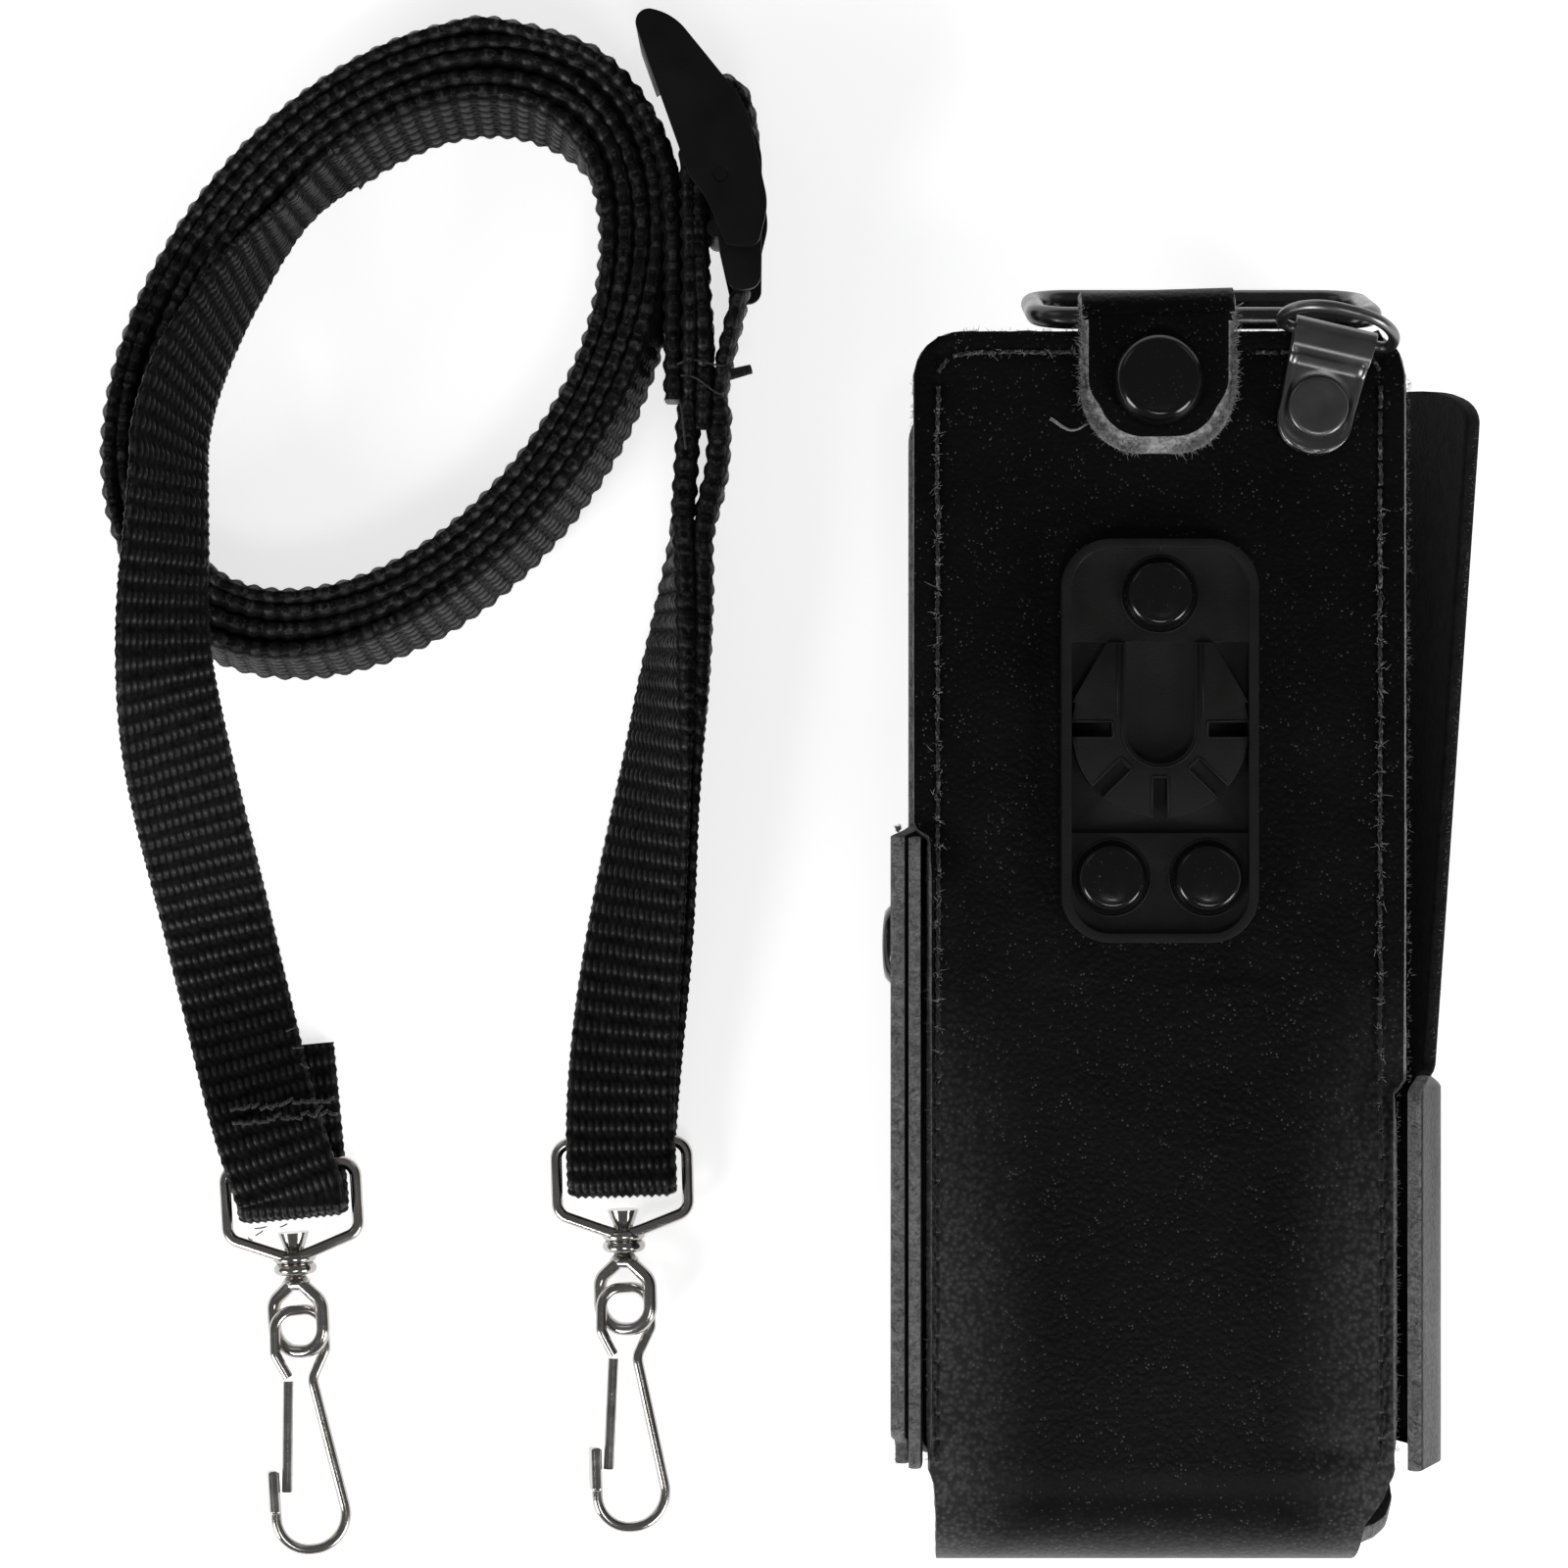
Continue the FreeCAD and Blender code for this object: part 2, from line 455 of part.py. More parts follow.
def right_run():
    """Both layers from the adjuster's side of the coil down to the right hook and back."""
    bar, heading, _ = HOOKS["right"]
    down = V(math.sin(math.radians(heading)), -math.cos(math.radians(heading)), 0)
    across = V(-down.y, down.x, 0)
    end = bar + down * FOLD_BELOW
    rise = FOLD_R + WEB_T / 2
    front, back = [], []
    for i in range(27):
        t = i / 26
        c = bezier(V(-64.9, 78.5, 0), V(-66.5, 32, 0), V(-76.2, -6, 0), end, t)
        tilt = math.radians(90) * min(max((c.y + 30) / 92, 0.0), 1.0) ** 1.15
        gap = 2 * rise - 1.4 * ease((c.y + 30) / 25) + 0.9 * ease((c.y - 20) / 40)
        c.z = gap * math.cos(tilt) + 8 * math.sin(tilt) + 0.75 * math.cos(tilt) + 0.12
        c.z += (BAR_Z + rise - c.z) * ease((-c.y - 20) / 12)
        along = ease((10 - c.y) / 40)
        flat = V(1, 0, 0) * (1 - along) + across * along
        w = (flat * math.cos(tilt) + UP * math.sin(tilt)).normalize()
        tangent = V(0.05, -1, 0)
        n = w.cross(tangent).normalize()
        n = n if n.z >= 0 and n.x <= 0.2 else n * -1
        front.append((c, w))
        back.append((c - n * gap, w))
    frames = list(front)
    for i in range(1, 8):
        a = math.pi * i / 8
        frames.append((V(end.x, end.y, BAR_Z) + down * (rise * math.sin(a)) + UP * (rise * math.cos(a)), across))
    frames += back[::-1]
    return webbing(frames)


def adjuster_strap():
    """The strap round the adjuster's bar: up the inside, over the bar and down the outside."""
    pts = [V(-64.85, 79.0, 0), V(-64.6, 92, 0), V(-64.9, 112, 0), V(-64.6, 121.9, 0),
           V(-56.6, 121.9, 0), V(-55.7, 108, 0), V(-57.6, 94, 0), V(-60.66, 79.1, 0)]
    path = fillet_path(pts, [0, 9, 12, 3.6, 3.9, 14, 16, 0])
    low, high = COIL_H / 2 + 0.15, ADJ_STRAP_Z + WEB_W / 2
    frames = []
    for p in path.discretize(56):
        frames.append((V(p.x, p.y, low + (high - low) * ease((p.y - 82.0) / 8.0)), UP))
    return webbing(frames)


def leaf(z0, z1):
    """The lever's cheek: a long leaf with a round tip and a heel beside the strap."""
    pts = [V(-73.2, 132.6, z0), V(-66.8, 131.0, z0), V(-56.6, 118.5, z0), V(-53.5, 104.5, z0),
           V(-55.0, 98.4, z0), V(-59.3, 98.6, z0), V(-62.4, 105.6, z0), V(-64.6, 108.4, z0)]
    return Part.Face(fillet_path(pts, [1.9, 8, 14, 8, 1.6, 0.8, 3, 4], True)).extrude(V(0, 0, z1 - z0))


def adjuster():
    """Frame with two cheeks and cross bars, lever with ears outside the cheeks, and its pin."""
    low, high = ADJ_STRAP_Z - 0.2, ADJ_STRAP_Z + WEB_W + 0.2
    cheeks = []
    for z in (low - CHEEK_T, high):
        line = fillet_path([V(-65.8, 123.2, z), V(-58.9, 92.4, z), V(-54.6, 92.9, z), V(-54.4, 112, z),
                            V(-58.5, 122.0, z)], [2.5, 1.9, 1.9, 8.0, 2.5], True)
        cheeks.append(Part.Face(line).extrude(V(0, 0, CHEEK_T)))
    bars = [disc(-60.6, 117.6, low, high, 1.9), disc(-60.9, 101.5, low, high, 1.3)]
    frame = cheeks[0].fuse([cheeks[1]] + bars)
    pin_hole = disc(ADJ_PIN.x, ADJ_PIN.y, -1, 40, 1.0 + FIT)
    frame = frame.cut(pin_hole)
    z_bot, z_top = low - CHEEK_T - ADJ_GAP, high + CHEEK_T + ADJ_GAP
    near = disc(ADJ_PIN.x, ADJ_PIN.y, -1, 60, TIP_FROM)
    coil_side = box(-90, LOW_EAR_X, 80, 125, -1, z_bot)
    lever = leaf(z_top, z_top + EAR_T).fuse([leaf(z_bot - EAR_T, z_bot).cut(coil_side),
                                             leaf(z_bot - EAR_T, z_top + EAR_T).cut(near)])
    cam = disc(ADJ_PIN.x, ADJ_PIN.y, low + 0.3, high - 0.3, 2.3)
    pin = disc(ADJ_PIN.x, ADJ_PIN.y, z_bot - EAR_T + 0.1, z_top + EAR_T - 0.1, 1.0)
    return frame.removeSplitter(), lever.cut(pin_hole).removeSplitter(), cam.cut(pin_hole), pin


def local(side):
    """The placement of a hook assembly: local x to the right, local -y towards the hook."""
    origin, heading, _ = HOOKS[side]
    return FreeCAD.Placement(origin, FreeCAD.Rotation(UP, heading))


def place(shape, side):
    out = shape.copy()
    out.Placement = local(side).multiply(out.Placement)
    return out


def twist(shape, angle):
    return turned(shape, V(0, 0, 0), V(0, 1, 0), angle)


def d_loop():
    """A wire loop round the webbing, its ends wrapped twice round the swivel post."""
    pts = [V(-1.2, -COLLAR_AT + 1.1, 1.9), V(-LOOP_HALF, -LOOP_CORNER, 0), V(-LOOP_HALF, 0, 0),
           V(LOOP_HALF, 0, 0), V(LOOP_HALF, -LOOP_CORNER, 0), V(1.2, -COLLAR_AT + 1.1, 1.9)]
    loop = wire_rod(fillet_path(pts, 2.2), LOOP_WIRE)
    for k in (-1, 1):
        loop = loop.fuse(Part.makeTorus(COLLAR_MID, LOOP_WIRE, V(0, -COLLAR_AT + 0.8 * k, 0), V(0, 1, 0)))
    return loop.cut(Part.makeCylinder(POST_R + FIT, 6, V(0, -COLLAR_AT - 3, 0), V(0, 1, 0)))


def swivel_eye():
    """The swivel post with its flared head above the wraps and a teardrop eye below them."""
    top, bottom = -EYE_AT + EYE_HALF_H, -EYE_AT - EYE_HALF_H
    pts = [V(0.9, top, 0), V(EYE_HALF_W, top - 2.6, 0), V(EYE_HALF_W, bottom, 0), V(-EYE_HALF_W, bottom, 0),
           V(-EYE_HALF_W, top - 2.6, 0), V(-0.9, top, 0)]
    eye = wire_rod(fillet_path(pts, [0.5, 2.5, 3.6, 3.6, 2.5, 0.5], True), EYE_WIRE)
    eye = eye.fuse(Part.makeCylinder(POST_R, COLLAR_AT * -1 - top + 2.2, V(0, top, 0), V(0, 1, 0)))
    head = Part.makeCone(POST_R, 2.3, 2.6, V(0, -COLLAR_AT + 1.85, 0), V(0, 1, 0))
    shoulder = Part.makeCone(2.2, POST_R, 0.9, V(0, -COLLAR_AT - 2.75, 0), V(0, 1, 0))
    return twist(eye.fuse([head, shoulder]), EYE_TWIST)


def hook():
    """The bent wire hook: its loop round the eye, the back leg, the bottom and the cupped tip."""
    y = -HOOK_AT
    pts = [V(-2.0, y - 6.4 + GATE_GAP, 0), V(-3.7, y - 2.6, 0), V(-3.5, y + 3.5, 0), V(3.5, y + 3.5, 0),
           V(3.7, y - 2.4, 0), V(1.5, y - 6.6, 0), V(6.3, y - 31.2, 0), V(-4.9, y - 31.2, 0), V(-4.9, y - 19.6, 0)]
    body = wire_rod(fillet_path(pts, [0, 1.6, 2.8, 2.8, 1.6, 2.6, 4.9, 4.9, 0]), HOOK_WIRE)
    cup = Part.makeBox(1.5, 6.4, 2.6, V(-5.9, y - 25.6, -1.3))
    cup = cup.makeFillet(0.5, cup.Edges)
    return twist(body.fuse(cup), HOOK_TWIST)


def gate():
    y = -HOOK_AT - 6.4
    lean = math.radians(4.0)
    run = V(-math.sin(lean), -math.cos(lean), 0)
    start = V(-2.0, y, 0) + run * (GATE_GAP / 2)
    return twist(Part.makeCylinder(HOOK_WIRE, GATE_LEN, start, run), HOOK_TWIST)


def main():
    os.makedirs("parts", exist_ok=True)
    panel = back_panel()
    lining = rounded_plate(-33.4, 33.4, LINING_BOTTOM_Y, BACK_TOP - 0.3, DEPTH - 2 * LEATHER, DEPTH - LEATHER - 0.02,
                           [1, 1, 6.3, 6.3])
    holes = [disc(x, y, 0, 60, SHANK_R + FIT) for x, y in RIVETS]
    holes += [disc(TAB_X, SNAP_Y, 20, 60, 1.6), disc(CLIP_X, CLIP_Y, 20, 60, 1.6)]
    save("back_panel", panel.cut(Part.makeCompound([h.common(box(-60, 60, 0, 90, 30, 60)) for h in holes])))
    save("back_lining", lining.cut(Part.makeCompound(holes)))
    save("front_wrap", front_wrap())
    welt = curved_sheet(wall_line([(-33.1, 36.4), (-33.3, 39.4), (-33.6, DEPTH + 2.0)]), 1.7,
                        lambda u, v: V(u, WALL_BOTTOM_Y + 0.6, v), V(0, LEFT_WALL_TOP_Y - WALL_BOTTOM_Y - 1.0, 0))
    save("left_welt", welt)
    left, right, top = stitches()
    save("left_seam_thread", Part.makeCompound(left))
    save("right_seam_thread", Part.makeCompound(right))
    save("mouth_seam_thread", Part.makeCompound(top))
    save("belt_plate", belt_plate())
    rivets, washers = plate_rivets()
    for name, rivet in zip(("plate_rivet_top", "plate_rivet_left", "plate_rivet_right"), rivets):
        save(name, rivet)
    save("plate_rivet_washers", Part.makeCompound(washers))
    flap, base = tab()
    save("tab_flap", flap)
    save("tab_loop", base)
    for name, piece in zip(("snap_cap", "snap_socket", "snap_stud"), snap_parts()):
        save(name, piece)
    save("carry_ring", carry_ring())
    save("ring_clip", clip())
    save("ring_clip_rivet", clip_rivet())
    save("d_ring", d_ring())
    for name, piece in zip(("side_snap_cap", "side_snap_washer"), side_snap()):
        save(name, piece)
    save("strap_coil", coil())
    save("strap_left_run", left_run())
    save("strap_right_run", right_run())
    save("strap_adjuster_run", adjuster_strap())
    for name, piece in zip(("adjuster_frame", "adjuster_lever", "adjuster_roller", "adjuster_pin"), adjuster()):
        save(name, piece)
    for side in HOOKS:
        for name, shape in (("d_loop", d_loop()), ("swivel_eye", swivel_eye()), ("hook", hook()), ("gate", gate())):
            save(side + "_" + name, place(shape, side))


main()
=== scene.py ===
import math

import bmesh
import bpy
import numpy as np
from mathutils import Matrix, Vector, noise


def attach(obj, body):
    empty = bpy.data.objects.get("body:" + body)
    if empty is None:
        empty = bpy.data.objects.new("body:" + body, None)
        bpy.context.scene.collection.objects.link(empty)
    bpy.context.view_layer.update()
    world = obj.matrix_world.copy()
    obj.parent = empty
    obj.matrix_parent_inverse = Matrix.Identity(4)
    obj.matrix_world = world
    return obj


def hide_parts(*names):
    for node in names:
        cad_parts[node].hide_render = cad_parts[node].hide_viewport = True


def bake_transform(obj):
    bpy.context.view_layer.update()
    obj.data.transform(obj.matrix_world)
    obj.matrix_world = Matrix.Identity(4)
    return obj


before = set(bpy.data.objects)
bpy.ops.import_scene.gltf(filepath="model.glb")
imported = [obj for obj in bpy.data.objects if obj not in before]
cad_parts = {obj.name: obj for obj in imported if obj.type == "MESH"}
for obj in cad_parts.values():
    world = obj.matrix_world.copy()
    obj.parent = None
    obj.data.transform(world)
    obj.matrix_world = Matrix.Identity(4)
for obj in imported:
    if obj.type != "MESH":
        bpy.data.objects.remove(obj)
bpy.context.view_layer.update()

# Lengths here are in millimetres, as in the CAD source; mesh_piece turns them into metres.
MM = 0.001
DEPTH, LEATHER = 40.0, 2.0
WEB_W, WEB_T, ROW, FLOAT = 16.0, 1.3, 2.8, 16.0 / 15  # webbing, and the pitches of its weave
UP, RIGHT = np.array([0.0, 0.0, 1.0]), np.array([1.0, 0.0, 0.0])
rng = np.random.default_rng(11)


# ---------------------------------------------------------------- small helpers

def v3(*p):
    return np.array(p, float)


def unit(a):
    a = np.asarray(a, float)
    return a / np.maximum(np.linalg.norm(a, axis=-1, keepdims=True), 1e-12)


def ease(t):
    t = np.clip(t, 0.0, 1.0)
    return t * t * (3 - 2 * t)


def lump(points, scale, seed=0.0):
    """Smooth noise from -1 to 1 at each point; scale is its period in mm."""
    flat = np.asarray(points, float).reshape(-1, 3) / scale + seed
    return np.array([noise.noise(Vector(p)) for p in flat]).reshape(np.asarray(points).shape[:-1])


def resample(points, step, extra=None):
    """A smooth curve through the points, at even spacing; extra rides along with it."""
    pts = np.asarray(points, float)
    both = pts if extra is None else np.hstack([pts, np.asarray(extra, float)])
    ends = np.vstack([2 * both[0] - both[1], both, 2 * both[-1] - both[-2]])
    fine = []
    for i in range(1, len(ends) - 2):
        a, b, c, d = ends[i - 1:i + 3]
        for t in np.linspace(0, 1, 24, endpoint=False):
            fine.append(0.5 * (2 * b + (c - a) * t + (2 * a - 5 * b + 4 * c - d) * t * t
                               + (3 * b - a - 3 * c + d) * t ** 3))
    fine = np.array(fine + [both[-1]])
    run = np.concatenate([[0], np.cumsum(np.linalg.norm(np.diff(fine[:, :3], axis=0), axis=1))])
    n = max(int(round(run[-1] / step)), 2) + 1
    at = np.linspace(0, run[-1], n)
    out = np.column_stack([np.interp(at, run, fine[:, k]) for k in range(both.shape[1])])
    return (out[:, :3], at) if extra is None else (out[:, :3], out[:, 3:], at)


def mesh_piece(name, verts, faces, body, mats, index=None, uv=None, replaces=()):
    """A mesh object from millimetre points, with its body, finish and the CAD nodes it replaces."""
    mesh = bpy.data.meshes.new(name)
    mesh.from_pydata((np.asarray(verts, float) * MM).tolist(), [], [tuple(f) for f in faces])
    for m in mats:
        mesh.materials.append(m)
    if index is not None:
        mesh.polygons.foreach_set("material_index", np.asarray(index, np.int32))
    if uv is not None:
        layer = mesh.uv_layers.new(name="weave")
        loops = np.empty(len(mesh.loops), np.int32)
        mesh.loops.foreach_get("vertex_index", loops)
        layer.data.foreach_set("uv", np.asarray(uv, np.float32)[loops].ravel())
    mesh.polygons.foreach_set("use_smooth", np.ones(len(mesh.polygons), bool))
    mesh.validate()
    mesh.update()
    obj = bpy.data.objects.new(name, mesh)
    bpy.context.collection.objects.link(obj)
    if body:
        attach(obj, body)
    if replaces:
        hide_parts(*replaces)
    return obj


def grid_faces(nu, nv, base=0, flip=False, wrap=False):
    """Quads of a grid of nu rows by nv columns."""
    cols = nv if wrap else nv - 1
    i, j = np.meshgrid(np.arange(nu - 1), np.arange(cols), indexing="ij")
    k = (j + 1) % nv
    quads = np.stack([i * nv + j, (i + 1) * nv + j, (i + 1) * nv + k, i * nv + k],
                     -1).reshape(-1, 4) + base
    return quads[:, ::-1] if flip else quads


def border(nu, nv):
    """The grid's outer points in order, as (row, column) pairs."""
    return ([(0, j) for j in range(nv - 1)] + [(i, nv - 1) for i in range(nu - 1)]
            + [(nu - 1, j) for j in range(nv - 1, 0, -1)] + [(i, 0) for i in range(nu - 1, 0, -1)])


def slab(mid, normal, thick, bulge, rough, inset=None):
    """A sheet with thickness: vertices, faces and each face's material (top, underside, raw edge).

    bulge rounds the edge and rough frays it. inset moves the top face in from the underside's
    outline, so that the cut edge slopes."""
    nu, nv = mid.shape[:2]
    ring = border(nu, nv)
    rows, cols = np.array(ring).T
    inner = mid[np.clip(rows, 1, nu - 2), np.clip(cols, 1, nv - 2)]
    rim, up = mid[rows, cols], normal[rows, cols]
    out = unit(np.cross(np.roll(rim, -1, 0) - np.roll(rim, 1, 0), up))
    if np.sum(out * (rim - inner)) < 0:
        out = -out
    inset = np.zeros_like(mid) if inset is None else inset
    top, low = mid + normal * (thick / 2) + inset, mid - normal * (thick / 2)
    ragged = (lump(rim, 0.9, 3.1) * 0.6 + lump(rim, 0.35, 8.7) * 0.4) * rough
    levels = []
    for level in (0.55, 0.0, -0.55):
        push = bulge * (1 - level * level) + ragged
        levels.append(rim + up * (thick / 2 * level) + out * push[:, None]
                      + inset[rows, cols] * (0.5 + level / 2))
    m, n = nu * nv, len(ring)
    verts = np.vstack([top.reshape(-1, 3), low.reshape(-1, 3)] + levels)
    up_faces, down_faces = grid_faces(nu, nv), grid_faces(nu, nv, m, True)
    middle = [2 * m + k * n + np.arange(n) for k in range(3)]
    loops = [rows * nv + cols] + middle + [m + rows * nv + cols]
    sides = np.vstack([np.stack([a, np.roll(a, -1), np.roll(b, -1), b], -1)
                       for a, b in zip(loops, loops[1:])])
    faces = np.vstack([up_faces, down_faces, sides])
    index = np.concatenate([np.zeros(len(up_faces)), np.ones(len(down_faces)),
                            np.full(len(sides), 2)])
    a, b = mid[1, 1] - mid[0, 1], mid[1, 1] - mid[1, 0]
    if np.dot(np.cross(a, b), normal[1, 1]) < 0:
        faces = faces[:, ::-1]
    return verts, faces.tolist(), index


def sheet_piece(name, sheet, body, mats, node):
    """A mesh object from what slab returns; it stands for one CAD node."""
    verts, faces, index = sheet
    return mesh_piece(name, verts, faces, body, mats, index, replaces=[node])


def face_centres(verts, faces):
    return np.array([verts[list(f)].mean(0) for f in faces])


def surface_normals(mid):
    du, dv = np.gradient(mid, axis=0), np.gradient(mid, axis=1)
    return unit(np.cross(du, dv))


def tube(path, radius, sides=8, closed=False):
    """Vertices and faces of a round bar along a path; radius may vary along it."""
    path = np.asarray(path, float)
    n = len(path)
    tangent = np.roll(path, -1, 0) - np.roll(path, 1, 0) if closed else np.gradient(path, axis=0)
    tangent = unit(tangent)
    side = np.cross(tangent[0], v3(0.3, 0.2, 1.0))
    frames = []
    for t in tangent:
        side = side - t * np.dot(side, t)
        side = side / np.linalg.norm(side)
        frames.append((side, np.cross(t, side)))
    a = np.linspace(0, 2 * math.pi, sides, endpoint=False)
    radius = np.broadcast_to(np.asarray(radius, float), (n,))
    rings = [path[i]
             + radius[i] * (np.outer(np.cos(a), frames[i][0]) + np.outer(np.sin(a), frames[i][1]))
             for i in range(n)]
    faces = grid_faces(n, sides, wrap=True).tolist()
    if closed:
        last = (n - 1) * sides
        faces += [[last + j, j, (j + 1) % sides, last + (j + 1) % sides] for j in range(sides)]
    else:
        faces += [list(range(sides)), list(range((n - 1) * sides, n * sides))[::-1]]
    return np.vstack(rings), faces


def lathe(profile, origin, axis, wobble, sides=64):
    """A turned form: profile is (radius, height) from the top's centre to the underside's."""
    axis = unit(np.array(axis, float))
    x = unit(np.cross(axis, v3(0.11, 1, 0.2)))
    y = np.cross(axis, x)
    a = np.linspace(0, 2 * math.pi, sides, endpoint=False)
    rows = []
    for r, h in profile:
        rows.append(v3(*origin) + axis * h + np.outer(np.cos(a) * r, x)
                    + np.outer(np.sin(a) * r, y))
    verts = np.vstack(rows)
    verts = verts + np.outer(lump(verts, 3.0, 5.0) * wobble, axis)
    return verts, grid_faces(len(profile), sides, wrap=True).tolist()


def merged(parts):
    """Several (vertices, faces) as one."""
    verts, faces, base = [], [], 0
    for v, f in parts:
        verts.append(v)
        faces += [[k + base for k in face] for face in f]
        base += len(v)
    return np.vstack(verts), faces


# ---------------------------------------------------------------- materials

class Finish:
    """A material whose nodes are added by short calls."""

    def __init__(self, name, **shader):
        self.mat = bpy.data.materials.new(name)
        self.mat.use_nodes = True
        self.tree = self.mat.node_tree
        self.bsdf = self.tree.nodes["Principled BSDF"]
        for key, value in shader.items():
            self.bsdf.inputs[key.replace("_", " ")].default_value = value
        self.point = self.add("TexCoord").outputs["Object"]

    def add(self, kind, inputs=(), **props):
        node = self.tree.nodes.new("ShaderNode" + kind)
        for key, value in props.items():
            setattr(node, key, value)
        for key, value in dict(inputs).items():
            self.feed(node.inputs[key], value)
        return node

    def feed(self, socket, value):
        if isinstance(value, bpy.types.NodeSocket):
            self.tree.links.new(value, socket)
        else:
            socket.default_value = value

    def scaled(self, x, y, z, rotate=(0, 0, 0), source=None):
        node = self.add("Mapping",
                        {"Vector": source or self.point, "Scale": (x, y, z), "Rotation": rotate})
        return node.outputs[0]

    def noise(self, scale, detail=2.0, rough=0.5, source=None, distortion=0.0):
        return self.add("TexNoise",
                        {"Vector": source or self.point, "Scale": scale, "Detail": detail,
                                     "Roughness": rough, "Distortion": distortion}).outputs[0]

    def cells(self, scale, smooth=0.0):
        inputs = {"Vector": self.point, "Scale": scale}
        if smooth:
            inputs["Smoothness"] = smooth
        return self.add("TexVoronoi", inputs, feature="SMOOTH_F1" if smooth
                        else "F1").outputs["Distance"]

    def remap(self, value, low, high, to_low=0.0, to_high=1.0):
        return self.add("MapRange",
                        {"Value": value, "From Min": low, "From Max": high, "To Min": to_low,
                                     "To Max": to_high}).outputs[0]

    def sum(self, a, b, operation="ADD"):
        node = self.add("Math", operation=operation)
        self.feed(node.inputs[0], a)
        self.feed(node.inputs[1], b)
        return node.outputs[0]

    def colour(self, fac, a, b):
        node = self.add("Mix", data_type="RGBA")
        self.feed(node.inputs[0], fac)
        self.feed(node.inputs[6], a)
        self.feed(node.inputs[7], b)
        return node.outputs[2]

    def bump(self, height, distance, strength):
        return self.add("Bump",
                        {"Height": height, "Distance": distance, "Strength": strength}).outputs[0]

    def finish(self, base, rough, normal):
        for key, value in (("Base Color", base), ("Roughness", rough), ("Normal", normal)):
            self.feed(self.bsdf.inputs[key], value)
        return self.mat


def grey(v, warm=0.0):
    """A grey of that level; warm shifts it towards red."""
    return (v * (1 + warm), v, v * (1 - warm), 1)


def leather_face():
    """Pebbled black grain with pale specks painted as tiny highlights, and painted sheen: lighter
    low down at the sides and along the fold.
    """
    f = Finish("leather_face", Specular_IOR_Level=0.11)
    pebble = f.cells(1500, smooth=0.9)
    fine = f.noise(3200, 3)
    drift = f.noise(90, 3)
    wear = f.noise(45, 3)
    base = f.colour(f.remap(wear, 0.35, 0.7), grey(0.0022), grey(0.0045))
    # Pale specks at the pebbles' centres: painted highlights on the grain.
    speck = f.remap(f.cells(1500), 0.16, 0.22, 1.0, 0.0)
    speck = f.sum(speck, f.remap(f.noise(420, 3), 0.46, 0.62), "MULTIPLY")
    base = f.colour(speck, base, grey(0.085))
    # Painted sheen: the base colour is made paler by position, low down near the side seams and
    # along the bottom fold, standing in for the reflection of the lights there.
    place = f.add("SeparateXYZ", {0: f.point}).outputs
    side = f.remap(f.sum(place[0], 0.0, "ABSOLUTE"), 0.014, 0.029)
    low, fold = f.remap(place[1], -0.002, -0.045), f.remap(place[1], -0.075, -0.087, 0.0, 0.5)
    painted_sheen_mask = f.sum(f.sum(f.sum(side, side, "MULTIPLY"), low, "MULTIPLY"), fold, "MAXIMUM")
    base = f.colour(f.sum(painted_sheen_mask, f.remap(pebble, 0.1, 0.6, 1.0, 0.3), "MULTIPLY"),
                    base, grey(0.085))
    rough = f.remap(f.sum(drift, fine, "MULTIPLY"), 0.1, 0.4, 0.34, 0.46)
    height = f.sum(pebble, f.sum(fine, 0.4, "MULTIPLY"))
    return f.finish(base, rough, f.bump(height, 0.00009, 0.75))


def suede():
    f = Finish("leather_flesh_side", Specular_IOR_Level=0.2, Sheen_Weight=0.06, Sheen_Roughness=0.5)
    nap = f.noise(1500, 5, 0.7)
    tuft = f.noise(420, 4, 0.65, distortion=0.8)
    base = f.colour(f.remap(tuft, 0.35, 0.7), grey(0.006), grey(0.018))
    base = f.colour(f.remap(nap, 0.62, 0.75), base, grey(0.05))
    return f.finish(base, 0.92, f.bump(f.sum(nap, tuft), 0.0003, 0.9))


def raw_edge(name, dark, light):
    f = Finish(name, Specular_IOR_Level=0.2, Sheen_Weight=0.3, Sheen_Roughness=0.6)
    fibre = f.noise(2300, 5, 0.75, f.scaled(1, 1, 0.5))
    clump = f.noise(700, 3, 0.6, distortion=1.2)
    base = f.colour(f.remap(f.sum(fibre, clump), 0.75, 1.3), grey(dark), grey(light))
    return f.finish(base, 0.95, f.bump(f.sum(fibre, clump), 0.00045, 1.0))


